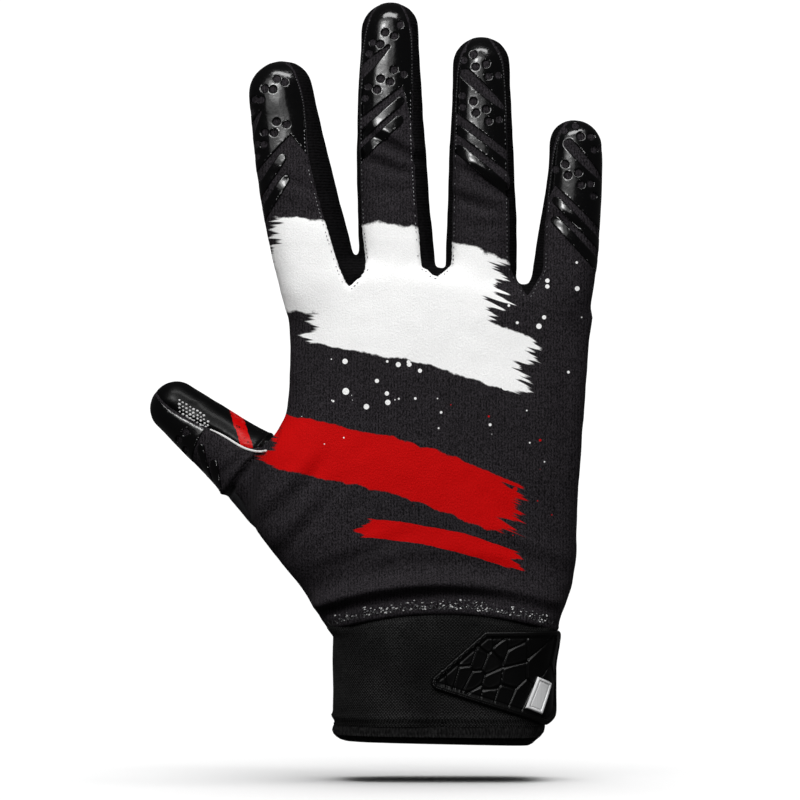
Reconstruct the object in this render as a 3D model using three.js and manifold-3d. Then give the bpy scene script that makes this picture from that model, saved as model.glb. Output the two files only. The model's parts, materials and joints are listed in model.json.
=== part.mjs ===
import * as THREE from "three";
import { mergeVertices } from "three/addons/utils/BufferGeometryUtils.js";
import Module from "manifold-3d";

// A receiver glove for the right hand, in its worn form and open at the wrist.
// Millimetres. +Z runs from the wrist to the fingertips, +X to the little finger,
// and -Y is the back of the hand. The origin is the centre of the wrist opening.
// The glove is cut from one thin wall: a back panel, a palm panel, a side strip
// between each two fingers, and a thumb of two halves. Raised grip prints lie on
// the fingertips, and a cuff with a hem and a wrap-round closure ends it.

// Cloth and seams
const clothWall = 1.5;
const seamGap = 0.3;
const sideSeamY = 3.6; // the back panel and the side strips reach this far round to the palm
const stripMargin = 0.5; // the least of a side strip that shows beside a finger

// Cuff
const wristWidth = 68.6;
const wristDepth = 37;
const wristSquareness = 3.4;
const hemHeight = 7.4;
const hemWall = 3.2;
const hemTilt = 1.6; // how much higher the hem stands on the thumb's side
const bandHeight = 34.5; // hem to the crown of the wrist seam
const bandWall = 2.2;
const seamArch = 5.2; // how far the wrist seam drops at the hand's two edges

// Hand
const palmLength = 103.8; // crown of the wrist seam to the finger roots
const palmWidth = 97; // across the finger roots
const palmSquareness = 2.7;
const knuckleDepth = 21;
const webRise = 4.6; // rounded top of the palm between the fingers
const rootSlope = 0.14; // how steeply the finger roots fall towards the little finger
const rootBow = 0.2; // how much steeper that fall is by the hand's edge
const handShift = 0.9; // from the wrist's middle to the hand's, towards the little finger
const curlDepth = 11; // how far the longest fingertip bends towards the palm
const curlStart = 70; // height above the wrist seam where that bend starts

// Fingers
const indexLength = 70.8;
const indexWidth = 24.9;
const middleLength = 88.4;
const middleWidth = 23.7;
const ringLength = 77.3;
const ringWidth = 23;
const littleLength = 51;
const littleWidth = 19.9;
const fingerDepth = 19;
const fingerSquareness = 2.3;
const fingerRoot = 16; // how far a finger's tube starts inside the palm

// Thumb
const thumbLength = 81.4;
const thumbLean = -51.8;
const thumbRootHeight = 18.7; // above the crown of the wrist seam
const thumbRootOffset = 27;
const thumbTipThickness = 14.4;
const thumbRootThickness = 34;
const thumbTipBreadth = 19;
const thumbRootBreadth = 27;
const thumbForward = 14; // how far the tip stands in front of the palm
const thumbSeamTurn = 17; // the thumb's seam, in degrees round its axis
const thumbCrease = 54.6; // crotch of the thumb, above the crown of the wrist seam
const thumbCreaseOffset = 54; // from the middle of the wrist
const thumbCreaseAngle = 47;

// Grip prints
const printThickness = 0.7;
const printMargin = 0.9; // from a finger's free edge
const dotDiameter = 2.9;
const barPitch = 6.3;
const barWidth = 3.4;
const barSlope = 37; // degrees across the finger
const slotWidth = 3.2;

// Closure
const strapThickness = 1.2;
const strapWidth = 21;
const strapReach = 46; // round the palm side, from the little-finger edge
const tabThickness = 1.5;
const tabRim = 0.9;
const tabRimWidth = 2;
const tabLength = 41;
const tabHeight = 29.5;
const badgeWidth = 7.4;
const badgeHeight = 11;
const badgeThickness = 0.8;
const badgeTurn = 26;

// Piping and cap on the thumb
const pipingStations = [0.55, 0.61, 0.67, 0.73, 0.79]; // shares of the thumb's length
const thumbCapStart = 0.87; // a share of the thumb's length
const pipingDiameter = 1.1;

const wristSeamZ = hemHeight + bandHeight;
const rootZ = wristSeamZ + palmLength;
const far = 3 * (palmWidth + palmLength);

// Palm sections, from below the wrist seam to the finger roots. up is a share of
// palmLength above that seam; left and right are the two edges as shares of
// palmWidth; thin goes from the wrist's depth at 0 to the knuckles' at 1; arch is
// how much of the finger roots' fall a section takes. The rows just above the
// seam make the soft fold that stands there.
const palmSections = [
  { up: -0.12, left: -0.362, right: 0.362, thin: 0, arch: 0 },
  { up: -0.065, left: -0.363, right: 0.365, thin: 0, arch: 0 },
  { up: -0.03, left: -0.389, right: 0.369, thin: 0.04, arch: 0 },
  { up: 0.007, left: -0.414, right: 0.382, thin: 0.12, arch: 0 },
  { up: 0.043, left: -0.437, right: 0.395, thin: -0.04, arch: 0 },
  { up: 0.079, left: -0.46, right: 0.408, thin: 0.02, arch: 0 },
  { up: 0.116, left: -0.493, right: 0.414, thin: 0.16, arch: 0 },
  { up: 0.17, left: -0.541, right: 0.423, thin: 0.16, arch: 0 },
  { up: 0.225, left: -0.587, right: 0.425, thin: 0.18, arch: 0 },
  { up: 0.29, left: -0.617, right: 0.428, thin: 0.24, arch: 0 },
  { up: 0.367, left: -0.62, right: 0.431, thin: 0.32, arch: 0 },
  { up: 0.483, left: -0.583, right: 0.44, thin: 0.46, arch: 0 },
  { up: 0.535, left: -0.55, right: 0.444, thin: 0.52, arch: 0 },
  { up: 0.598, left: -0.512, right: 0.45, thin: 0.6, arch: 0 },
  { up: 0.743, left: -0.498, right: 0.457, thin: 0.78, arch: 0.35 },
  { up: 0.893, left: -0.505, right: 0.465, thin: 0.92, arch: 0.75 },
  { up: 1, left: -0.53, right: 0.478, thin: 1, arch: 1 },
];

// The palm's rounded top: rise is a share of webRise, size of the last section.
const palmTop = [
  { rise: 0.55, size: 0.86 },
  { rise: 0.9, size: 0.55 },
  { rise: 1, size: 0.15 },
];

// Fingers. root is the axis at the finger roots as a share of palmWidth, lean is in
// degrees, and sway is the axis's bow to one side as a share of the width, as the
// tapers are. leftStrip and rightStrip are the shares of the width that the side
// strips take in front. slant is 1 where the print's bars fall to the right and -1
// where they fall to the left, and capEnd is where the solid part of the print ends,
// as a share of the length from the fingertip.
const fingers = [
  {
    name: "index", length: indexLength, width: indexWidth, root: -0.405, lean: -11.3,
    sway: -0.03, middleTaper: 0.955, tipTaper: 0.8, leftStrip: 0, rightStrip: 0.25,
    slant: -1, capEnd: 0.36,
  },
  {
    name: "middle", length: middleLength, width: middleWidth, root: -0.146, lean: -1.9,
    sway: -0.06, middleTaper: 0.935, tipTaper: 0.75, leftStrip: 0.06, rightStrip: 0.13,
    slant: -1, capEnd: 0.29,
  },
  {
    name: "ring", length: ringLength, width: ringWidth, root: 0.119, lean: 0.1,
    sway: 0, middleTaper: 0.91, tipTaper: 0.78, leftStrip: 0.08, rightStrip: 0.11,
    slant: 1, capEnd: 0.31,
  },
  {
    name: "little", length: littleLength, width: littleWidth, root: 0.38, lean: 5.4,
    sway: 0.04, middleTaper: 0.93, tipTaper: 0.8, leftStrip: 0.13, rightStrip: 0,
    slant: 1, capEnd: 0.41,
  },
];

// Where each side strip's seam turns below the crotch, as a share of palmLength
// above the wrist seam, and how wide that turn is as a share of the ring's width.
const stripTurns = [
  { name: "gusset_index_middle", turn: 0.98, width: 0.36 },
  { name: "gusset_middle_ring", turn: 1.005, width: 0.3 },
  { name: "gusset_ring_little", turn: 0.955, width: 0.22 },
];

// Stations along a finger as shares of its straight part, then of its round tip.
const straightStations = [0, 0.3, 0.62, 1];
const tipStations = [0.4, 0.73, 0.95];

// Two groups of round holes in a print: each is two staggered rows. along is a share
// of capEnd and across a share of the finger's width, from the fingertip and its axis.
const dotGroups = [
  { along: 0.24, across: -0.12, rows: 2, count: 3 },
  { along: 0.76, across: -0.09, rows: 2, count: 3 },
];
const dotPitch = 1.55; // in dot diameters
const rowPitch = 1.25;
const rowStagger = 0.35; // of dotPitch
const dotSides = 6;
const slotAlong = 0.5; // the bare bar between the two groups, as a share of capEnd
const slotStart = 0.3; // and how far across the finger it starts
const barCount = 2;

const palmSides = { outer: 26, inner: 16 };
const fingerSides = { outer: 14, inner: 10 };
const cuffSides = 28;
const sidesOf = (sides, grow) => (grow < 0 ? sides.inner : sides.outer);

const wasm = await Module();
wasm.setup();

// A closed geometry as a manifold solid.
function solidFrom(geometry) {
  const bare = geometry.index ? geometry.toNonIndexed() : geometry.clone();
  bare.deleteAttribute("normal");
  bare.deleteAttribute("uv");
  const merged = mergeVertices(bare, 1e-4);
  return new wasm.Manifold(
    new wasm.Mesh({
      numProp: 3,
      vertProperties: new Float32Array(merged.attributes.position.array),
      triVerts: new Uint32Array(merged.index.array),
    }),
  );
}

// A solid's triangles as a geometry, bent towards the palm above curlStart.
function geometryFrom(solid) {
  const mesh = solid.getMesh();
  const stride = mesh.numProp;
  const place = new Float32Array(mesh.numVert * 3);
  for (let i = 0; i < mesh.numVert; i++) {
    const [x, y, z] = mesh.vertProperties.subarray(i * stride, i * stride + 3);
    place.set([x, y + curlAt(z), z], i * 3);
  }
  const geometry = new THREE.BufferGeometry();
  geometry.setAttribute("position", new THREE.BufferAttribute(place, 3));
  geometry.setIndex(new THREE.BufferAttribute(new Uint32Array(mesh.triVerts), 1));
  geometry.computeVertexNormals();
  return geometry;
}

// How far the glove bends towards the palm at a height.
function curlAt(z) {
  const run = palmLength + middleLength - curlStart;
  const share = Math.max(0, z - wristSeamZ - curlStart) / run;
  return curlDepth * share * share;
}

// One point of a squared oval; squareness 2 is an ellipse.
function ovalPoint(turn, halfWidth, halfDepth, squareness) {
  const power = 2 / squareness;
  const c = Math.cos(turn);
  const s = Math.sin(turn);
  return [
    halfWidth * Math.sign(c) * Math.abs(c) ** power,
    halfDepth * Math.sign(s) * Math.abs(s) ** power,
  ];
}

// A ring of points round a centre, in the plane of side and deep.
function ring(centre, side, deep, halfWidth, halfDepth, squareness, sides) {
  const points = [];
  for (let i = 0; i < sides; i++) {
    const turn = (2 * Math.PI * (i + 0.5)) / sides;
    const [a, b] = ovalPoint(turn, halfWidth, halfDepth, squareness);
    points.push(centre.clone().addScaledVector(side, a).addScaledVector(deep, b));
  }
  return points;
}

// A solid through rings of equal count, closed by a fan at each end.
function loft(rings) {
  const sides = rings[0].length;
  const place = [];
  const faces = [];
  const middle = (points) =>
    points.reduce((sum, p) => sum.add(p), new THREE.Vector3()).divideScalar(sides);
  rings.flat().forEach((p) => place.push(p.x, p.y, p.z));
  for (let r = 0; r + 1 < rings.length; r++) {
    for (let i = 0; i < sides; i++) {
      const j = (i + 1) % sides;
      const low = r * sides;
      const high = low + sides;
      faces.push(low + i, low + j, high + j, low + i, high + j, high + i);
    }
  }
  const first = place.length / 3;
  const last = first + 1;
  const top = (rings.length - 1) * sides;
  for (const end of [middle(rings[0]), middle(rings.at(-1))]) {
    place.push(end.x, end.y, end.z);
  }
  for (let i = 0; i < sides; i++) {
    const j = (i + 1) % sides;
    faces.push(first, j, i, last, top + i, top + j);
  }
  const geometry = new THREE.BufferGeometry();
  geometry.setAttribute("position", new THREE.Float32BufferAttribute(place, 3));
  geometry.setIndex(faces);
  return solidFrom(geometry);
}

// A closed outline in X and Z, cut through the whole depth or between two depths.
function prism(points, nearY = -far, farY = far) {
  const shape = new THREE.Shape(points.map(([x, z]) => new THREE.Vector2(x, z)));
  const geometry = new THREE.ExtrudeGeometry(shape, {
    depth: farY - nearY,
    bevelEnabled: false,
  });
  geometry.rotateX(Math.PI / 2);
  geometry.translate(0, farY, 0);
  return solidFrom(geometry);
}

// All space on one side of a plane: at point, facing away from normal.
function halfSpace(point, normal) {
  const geometry = new THREE.BoxGeometry(far, far, far);
  geometry.translate(0, 0, -far / 2);
  const turn = new THREE.Quaternion().setFromUnitVectors(
    new THREE.Vector3(0, 0, 1),
    normal.clone().normalize(),
  );
  geometry.applyQuaternion(turn);
  geometry.translate(point.x, point.y, point.z);
  return solidFrom(geometry);
}

const sideways = new THREE.Vector3(1, 0, 0);
const deepways = new THREE.Vector3(0, 1, 0);
const degrees = (a) => (a * Math.PI) / 180;
const mix = (a, b, t) => a + (b - a) * t;

// How far the finger roots fall at a place across the hand.
function rootFall(x) {
  const share = x / (palmWidth / 2);
  return (palmWidth / 2) * (rootSlope * share + (rootBow / 2) * share * share);
}

// The hand without fingers, grown or shrunk by a distance.
function palmSolid(grow) {
  const sides = sidesOf(palmSides, grow);
  const section = ({ left, right, arch }, z, depth, inset, squareness) => {
    const x = handShift + ((left + right) / 2) * palmWidth;
    const centre = new THREE.Vector3(x, 0, z);
    const width = ((right - left) / 2) * palmWidth + grow - inset;
    const points = ring(centre, sideways, deepways, width, depth, squareness, sides);
    points.forEach((p) => (p.z -= arch * rootFall(p.x)));
    return points;
  };
  const rings = palmSections.map((row) => {
    const depth = mix(wristDepth, knuckleDepth, row.thin) / 2 + grow;
    const square = mix(wristSquareness, palmSquareness, Math.min(1, Math.max(0, row.up * 8)));
    return section(row, wristSeamZ + row.up * palmLength, depth, 0, square);
  });
  const last = palmSections.at(-1);
  for (const { rise, size } of palmTop) {
    const depth = (size * knuckleDepth) / 2 + size * grow;
    const height = rootZ + rise * (webRise + grow);
    rings.push(section(last, height, depth, (1 - size) * webRise, palmSquareness));
  }
  return loft(rings);
}

// A finger's own directions and the widths along it.
function fingerFrame(finger) {
  const lean = degrees(finger.lean);
  const along = new THREE.Vector3(Math.sin(lean), 0, Math.cos(lean));
  const side = new THREE.Vector3(Math.cos(lean), 0, -Math.sin(lean));
  const root = new THREE.Vector3(handShift + finger.root * palmWidth, 0, rootZ);
  const tipRound = (finger.width * finger.tipTaper) / 2;
  const straight = finger.length - tipRound;
  return { along, side, root, tipRound, straight };
}

// A point beside a finger's bowed axis: a distance along it and one across it.
function fingerPoint(finger, distance, across = 0) {
  const { along, side, root } = fingerFrame(finger);
  const t = Math.min(1, Math.max(0, distance / finger.length));
  const bow = finger.sway * finger.width * 4 * t * (1 - t);
  return root.addScaledVector(along, distance).addScaledVector(side, across + bow);
}

// Half the finger's width at a distance from its root, by a curve through three widths.
function fingerHalfWidth(finger, distance) {
  const { straight } = fingerFrame(finger);
  const t = Math.min(1, Math.max(0, distance / straight));
  const bend = finger.middleTaper - (1 + finger.tipTaper) / 2;
  return (finger.width / 2) * (mix(1, finger.tipTaper, t) + 4 * bend * t * (1 - t));
}

// One finger's tube with its round tip, grown or shrunk by a distance.
function fingerSolid(finger, grow) {
  const { side, tipRound, straight } = fingerFrame(finger);
  const rings = [];
  const add = (distance, width, depth) => {
    const centre = fingerPoint(finger, distance);
    const sides = sidesOf(fingerSides, grow);
    rings.push(ring(centre, side, deepways, width, depth, fingerSquareness, sides));
  };
  add(-fingerRoot, finger.width / 2 + grow - 1, fingerDepth / 2 + grow - 1);
  const depthAt = (t) => (fingerDepth / 2) * mix(1, finger.tipTaper, t) + grow;
  for (const share of straightStations) {
    add(share * straight, fingerHalfWidth(finger, share * straight) + grow, depthAt(share));
  }
  const tipWidth = fingerHalfWidth(finger, straight) + grow;
  for (const share of tipStations) {
    const size = Math.sqrt(1 - share * share);
    add(straight + share * (tipRound + grow), size * tipWidth, size * depthAt(1));
  }
  return loft(rings);
}

// The thumb's axis, its two cross directions and its half sizes along it.
function thumbFrame() {
  const lean = degrees(thumbLean);
  const flat = new THREE.Vector3(Math.sin(lean), 0, Math.cos(lean));
  const root = new THREE.Vector3(
    handShift - thumbRootOffset, thumbForward * 0.3, wristSeamZ + thumbRootHeight,
  );
  const tip = root.clone().addScaledVector(flat, thumbLength);
  tip.y = root.y + thumbForward;
  const along = tip.clone().sub(root).normalize();
  const up = new THREE.Vector3().crossVectors(deepways, along).normalize();
  const deep = new THREE.Vector3().crossVectors(along, up).normalize();
  return { root, tip, along, up, deep, reach: tip.distanceTo(root) };
}

// The thumb's half sizes at a share of its length.
function thumbHalfSizes(share) {
  return [
    mix(thumbRootThickness, thumbTipThickness, share) / 2,
    mix(thumbRootBreadth, thumbTipBreadth, share) / 2,
  ];
}

// The thumb's tube with its round tip, grown or shrunk by a distance.
function thumbSolid(grow) {
  const { root, along, up, deep, reach } = thumbFrame();
  const tipRound = thumbTipThickness / 2;
  const straight = reach - tipRound;
  const rings = [];
  const add = (distance, width, depth) => {
    const centre = root.clone().addScaledVector(along, distance);
    const sides = sidesOf(fingerSides, grow);
    rings.push(ring(centre, up, deep, width, depth, fingerSquareness, sides));
  };
  for (const share of straightStations) {
    const [width, depth] = thumbHalfSizes((share * straight) / reach);
    add(share * straight, width + grow, depth + grow);
  }
  const [width, depth] = thumbHalfSizes(straight / reach);
  for (const share of tipStations) {
    const size = Math.sqrt(1 - share * share);
    add(straight + share * (tipRound + grow), size * (width + grow), size * (depth + grow));
  }
  return loft(rings);
}

// Half of all space at the plane of the thumb's seam: 1 for the upper half.
function thumbHalf(sign) {
  const { root, up, deep } = thumbFrame();
  const normal = up
    .clone()
    .multiplyScalar(Math.cos(degrees(thumbSeamTurn)))
    .addScaledVector(deep, Math.sin(degrees(thumbSeamTurn)));
  const point = root.clone().addScaledVector(normal, (sign * seamGap) / 2);
  return halfSpace(point, normal.multiplyScalar(-sign));
}

// Height of the wrist seam across the hand.
const wristSeamAt = (x) => wristSeamZ - seamArch * (x / (wristWidth / 2)) ** 2;

// Everything above the wrist seam, raised by a distance.
function aboveWristSeam(lift) {
  const steps = 14;
  const edge = wristWidth * 0.62;
  const points = [[-far, wristSeamAt(-edge) + lift]];
  for (let i = 0; i <= steps; i++) {
    const x = mix(-edge, edge, i / steps);
    points.push([x, wristSeamAt(x) + lift]);
  }
  points.push([far, wristSeamAt(edge) + lift], [far, far], [-far, far]);
  return prism(points);
}

// The thumb's side of the crease at its root, moved towards the hand by a distance.
function thumbSide(shift) {
  const across = degrees(thumbCreaseAngle);
  const crotch = [handShift - thumbCreaseOffset + shift, wristSeamZ + thumbCrease];
  const top = crotch[1] + thumbCrease / 2;
  const low = [
    crotch[0] - far * Math.cos(across),
    crotch[1] - far * Math.sin(across),
  ];
  return prism([crotch, [crotch[0], top], [-far, top], [-far, low[1]], low]);
}

// The seam between a finger's back and its side strip, as points in X and Z from
// the palm to the fingertip. sign is 1 for the finger's right side.
function stripSeam(finger, sign, strip, shift) {
  const { tipRound, straight } = fingerFrame(finger);
  return [0.06, 0.35, 0.7, 1, 1.5].map((share) => {
    const distance = Math.min(share, 1) * straight + Math.max(0, share - 1) * 3 * tipRound;
    const inset = Math.max(stripMargin, strip * finger.width) * (share > 1 ? 0.4 : 1);
    const half = fingerHalfWidth(finger, distance) - inset;
    const point = fingerPoint(finger, distance, sign * (half + shift));
    return [point.x, point.z];
  });
}

// The region of the side strip between two fingers, grown by a distance.
function stripRegion(left, right, { turn, width }, shift) {
  const rising = stripSeam(left, 1, left.rightStrip, -shift);
  const falling = stripSeam(right, -1, right.leftStrip, -shift);
  const middleX = (rising[0][0] + falling[0][0]) / 2;
  const half = (width * ringWidth) / 2;
  const low = wristSeamZ + turn * palmLength - shift;
  const bottom = [
    [middleX + half, low + half * 0.5],
    [middleX + half * 0.4, low],
    [middleX - half * 0.4, low],
    [middleX - half, low + half * 0.5],
  ];
  const above = [
    [falling.at(-1)[0], far],
    [rising.at(-1)[0], far],
  ];
  return prism([...rising.reverse(), ...bottom.reverse(), ...falling, ...above]);
}

// A point of a finger's front: across from its axis and along from its tip, in mm.
function frontPoint(finger, across, fromTip) {
  const point = fingerPoint(finger, finger.length - fromTip, across);
  return [point.x, point.z];
}

// The raised print on a fingertip: a cap with round holes and a bare bar, that ends
// in slanted bars joined at the finger's outer side. Places across it are distances
// from the finger's axis, and places along it are distances from the fingertip.
function printSolid(finger) {
  const { slant, width, length } = finger;
  const strip = (share) => Math.max(stripMargin, share * width) + 3 * seamGap;
  const [innerShare, outerShare] =
    slant < 0
      ? [finger.rightStrip, finger.leftStrip]
      : [finger.leftStrip, finger.rightStrip];
  const inner = slant * (strip(innerShare) - width / 2);
  const outer = slant * (width / 2 - strip(outerShare) - (outerShare ? 0 : printMargin));
  const wrap = outerShare ? outer : slant * width;
  const slope = Math.tan(degrees(barSlope)) * slant;
  const barEnd = (across, fromTip) => fromTip + (across - inner) * slope;
  const region = (corners) =>
    prism(
      corners.map(([across, fromTip]) => frontPoint(finger, across, fromTip)),
      -far,
      sideSeamY - seamGap,
    );
  const capEnd = finger.capEnd * length;
  const spine = outer - slant * barWidth;
  const lastBar = capEnd + barPitch * barCount;
  let shape = region([
    [inner, -2 * printMargin],
    [inner, capEnd],
    [wrap, barEnd(wrap, capEnd)],
    [wrap, -2 * printMargin],
  ]);
  shape = shape.add(
    region([
      [outer, barEnd(outer, lastBar)],
      [outer, capEnd],
      [spine, capEnd],
      [spine, barEnd(spine, lastBar)],
    ]),
  );
  const bar = (start, end, fromTip, thick) =>
    region([
      [start, barEnd(start, fromTip)],
      [end, barEnd(end, fromTip)],
      [end, barEnd(end, fromTip + thick)],
      [start, barEnd(start, fromTip + thick)],
    ]);
  for (let i = 1; i <= barCount; i++) {
    const fromTip = capEnd + i * barPitch - barWidth;
    shape = shape.add(bar(inner + slant * barWidth, outer, fromTip, barWidth));
  }
  const slot = inner + slant * width * slotStart;
  shape = shape.subtract(bar(slot, spine, slotAlong * capEnd, slotWidth));
  for (const { along, across, rows, count } of dotGroups) {
    for (let row = 0; row < rows; row++) {
      for (let i = 0; i < count; i++) {
        const place = (i + row * rowStagger) * dotPitch * dotDiameter;
        const step = place * Math.cos(degrees(barSlope));
        const at = frontPoint(
          finger,
          slant * (across * width + step),
          along * capEnd + step * Math.abs(slope) + row * rowPitch * dotDiameter,
        );
        shape = shape.subtract(dotPrism(at));
      }
    }
  }
  return fingerSolid(finger, seamGap + printThickness)
    .subtract(fingerSolid(finger, seamGap))
    .intersect(shape);
}

// A round hole through the front of the glove, at a point in X and Z.
function dotPrism([x, z]) {
  const points = [];
  for (let i = 0; i < dotSides; i++) {
    const turn = (2 * Math.PI * i) / dotSides;
    points.push([
      x + (dotDiameter / 2) * Math.cos(turn),
      z + (dotDiameter / 2) * Math.sin(turn),
    ]);
  }
  return prism(points, -far, 0);
}

// The cuff's tube between two heights, grown by a distance.
function cuffSolid(low, high, grow) {
  return loft(
    [low, high].map((z) =>
      ring(
        new THREE.Vector3(0, 0, z), sideways, deepways,
        wristWidth / 2 + grow, wristDepth / 2 + grow, wristSquareness, cuffSides,
      ),
    ),
  );
}

// The hem's outer form. up is a share of hemHeight, inset of hemWall, and tuck of
// hemWall again: how far the hem draws in at its little-finger corner.
const hemSections = [
  { up: 0, inset: 1.05, tuck: 1.6 },
  { up: 0.14, inset: 0.5, tuck: 1.3 },
  { up: 0.4, inset: 0.12, tuck: 0.8 },
  { up: 0.8, inset: -0.1, tuck: 0.2 },
  { up: 1, inset: 0.3, tuck: 0 },
];

function hemSolid() {
  const last = hemSections.length - 1;
  const rings = (extra, reach) =>
    hemSections.map(({ up, inset, tuck }, i) => {
      const end = i === 0 ? -reach : i === last ? reach : 0;
      const z = up * hemHeight - (i === last ? seamGap / 2 : 0) + end;
      const draw = (tuck * hemWall) / 4;
      const grow = -inset * hemWall - extra;
      const points = ring(
        new THREE.Vector3(-draw, 0, z), sideways, deepways,
        wristWidth / 2 + grow - draw, wristDepth / 2 + grow, wristSquareness, cuffSides,
      );
      points.forEach((p) => (p.z += hemTilt * (1 - up) * (0.5 - p.x / wristWidth)));
      return points;
    });
  return loft(rings(0, 0)).subtract(loft(rings(hemWall, hemTilt + 1)));
}

// The tab's outline on the back of the cuff, as shares of tabLength from the
// little-finger edge and of tabHeight from the hem.
const tabOutline = [
  { left: -0.1, up: 0.0 },
  { left: 0.2, up: 0.035 },
  { left: 0.88, up: 0.3 },
  { left: 1.0, up: 0.38 },
  { left: 0.97, up: 0.52 },
  { left: 0.6, up: 0.94 },
  { left: 0.5, up: 1.0 },
  { left: 0.1, up: 0.97 },
  { left: -0.1, up: 0.92 },
];

function tabPoints(inset) {
  const centre = { left: 0.42, up: 0.56 };
  return tabOutline.map(({ left, up }) => {
    const x = wristWidth / 2 + seamGap - left * tabLength;
    const z = hemHeight - 0.6 + up * tabHeight;
    const cx = wristWidth / 2 - centre.left * tabLength;
    const cz = hemHeight + centre.up * tabHeight;
    const shrink = 1 - inset / (tabHeight / 2);
    return [cx + (x - cx) * shrink, cz + (z - cz) * shrink];
  });
}

function tabSolid() {
  const low = -hemHeight;
  const high = rootZ;
  const under = cuffSolid(low, high, seamGap);
  const plate = cuffSolid(low, high, seamGap + tabThickness);
  const raised = cuffSolid(low, high, seamGap + tabThickness + tabRim);
  const outline = prism(tabPoints(0), -far, -seamGap);
  const rim = outline.subtract(prism(tabPoints(tabRimWidth)));
  return plate.intersect(outline).add(raised.intersect(rim)).subtract(under);
}

function strapSolid() {
  const low = hemHeight + 2;
  const start = wristWidth / 2 + seamGap + 2 * strapThickness;
  const end = wristWidth / 2 - strapReach;
  const outline = [
    [start, low],
    [start, low + strapWidth],
    [end, low + strapWidth],
    [end, low],
  ];
  const shell = cuffSolid(-1, rootZ, seamGap + strapThickness).subtract(
    cuffSolid(-1, rootZ, seamGap),
  );
  return shell.intersect(prism(outline, 0, far));
}

function badgeSolid() {
  const turn = degrees(badgeTurn);
  const x = wristWidth / 2 - 0.145 * tabLength;
  const z = hemHeight + 0.3 * tabHeight;
  const corners = [[-1, -1], [1, -1], [1, 1], [-1, 1]].map(([a, b]) => {
    const u = (a * badgeWidth) / 2;
    const v = (b * badgeHeight) / 2;
    return [
      x + u * Math.cos(turn) + v * Math.sin(turn),
      z - u * Math.sin(turn) + v * Math.cos(turn),
    ];
  });
  const base = 2 * seamGap + tabThickness;
  return cuffSolid(0, rootZ, base + badgeThickness)
    .subtract(cuffSolid(-1, rootZ + 1, base))
    .intersect(prism(corners, -far, 0));
}

// The glossy cap on the back half of the thumb's tip.
function thumbPrintSolid() {
  const { root, along, reach } = thumbFrame();
  const start = root.clone().addScaledVector(along, reach * thumbCapStart);
  return thumbSolid(seamGap + printThickness)
    .subtract(thumbSolid(seamGap))
    .intersect(halfSpace(start, along.clone().negate()))
    .intersect(thumbHalf(-1));
}

// The white piping that lies along the thumb's seam, on the side seen from the back.
function pipingSolid() {
  const { root, along, up, deep, reach } = thumbFrame();
  const turn = degrees(thumbSeamTurn);
  const stand = seamGap + pipingDiameter / 2;
  const points = pipingStations.map((share) => {
    const [width, depth] = thumbHalfSizes(share);
    return root
      .clone()
      .addScaledVector(along, share * reach)
      .addScaledVector(up, (width + stand) * Math.sin(turn))
      .addScaledVector(deep, -(depth + stand) * Math.cos(turn));
  });
  const section = new THREE.Shape();
  section.absarc(0, 0, pipingDiameter / 2, 0, 2 * Math.PI);
  const geometry = new THREE.ExtrudeGeometry(section, {
    steps: 9,
    curveSegments: 4,
    extrudePath: new THREE.CatmullRomCurve3(points),
  });
  return solidFrom(geometry);
}

const fabric = (color) => new THREE.MeshStandardMaterial({ color, roughness: 0.85 });
const backCloth = fabric(0x1b1a1c);
const sideCloth = fabric(0x0c0c0d);
const bandCloth = fabric(0x151515);
const hemCloth = fabric(0x101011);
const palmGrip = new THREE.MeshStandardMaterial({ color: 0x0b0b0c, roughness: 0.35 });
const silicone = new THREE.MeshStandardMaterial({ color: 0x050505, roughness: 0.15 });
const rubber = new THREE.MeshStandardMaterial({ color: 0x0a0a0a, roughness: 0.5 });
const whitePiping = new THREE.MeshStandardMaterial({ color: 0xe9e9e6, roughness: 0.5 });
const silver = new THREE.MeshStandardMaterial({
  color: 0xe4e5e6,
  roughness: 0.35,
  metalness: 0.4,
});

const glove = new THREE.Group();

function addPiece(name, solid, material) {
  const mesh = new THREE.Mesh(geometryFrom(solid), material);
  mesh.name = name;
  glove.add(mesh);
}

// One thin wall for the whole hand, open at the wrist.
const everything = (grow) =>
  fingers.reduce(
    (sum, finger) => sum.add(fingerSolid(finger, grow)),
    palmSolid(grow).add(thumbSolid(grow)),
  );
const wall = everything(0)
  .subtract(everything(-clothWall))
  .intersect(aboveWristSeam(seamGap / 2));

const handWall = wall.subtract(thumbSide(seamGap / 2));
const thumbWall = wall.intersect(thumbSide(-seamGap / 2));

const towardsPalm = (y) => halfSpace(new THREE.Vector3(0, y, 0), new THREE.Vector3(0, -1, 0));
const towardsBack = (y) => halfSpace(new THREE.Vector3(0, y, 0), new THREE.Vector3(0, 1, 0));
const backHalf = handWall.intersect(towardsBack(sideSeamY - seamGap / 2));
const palmHalf = handWall.intersect(towardsPalm(sideSeamY + seamGap / 2));

const strips = stripTurns.map((row, i) => ({
  name: row.name,
  cut: stripRegion(fingers[i], fingers[i + 1], row, seamGap / 2),
  keep: stripRegion(fingers[i], fingers[i + 1], row, -seamGap / 2),
}));
addPiece(
  "back_panel",
  strips.reduce((rest, { cut }) => rest.subtract(cut), backHalf),
  backCloth,
);
addPiece("palm_panel", palmHalf, palmGrip);
for (const { name, keep } of strips) {
  addPiece(name, backHalf.intersect(keep), sideCloth);
}

addPiece("thumb_back", thumbWall.intersect(thumbHalf(-1)), backCloth);
addPiece("thumb_palm", thumbWall.intersect(thumbHalf(1)), palmGrip);
addPiece("thumb_piping", pipingSolid(), whitePiping);

for (const finger of fingers) {
  addPiece(`grip_print_${finger.name}`, printSolid(finger), silicone);
}

addPiece("grip_print_thumb", thumbPrintSolid(), silicone);

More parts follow.
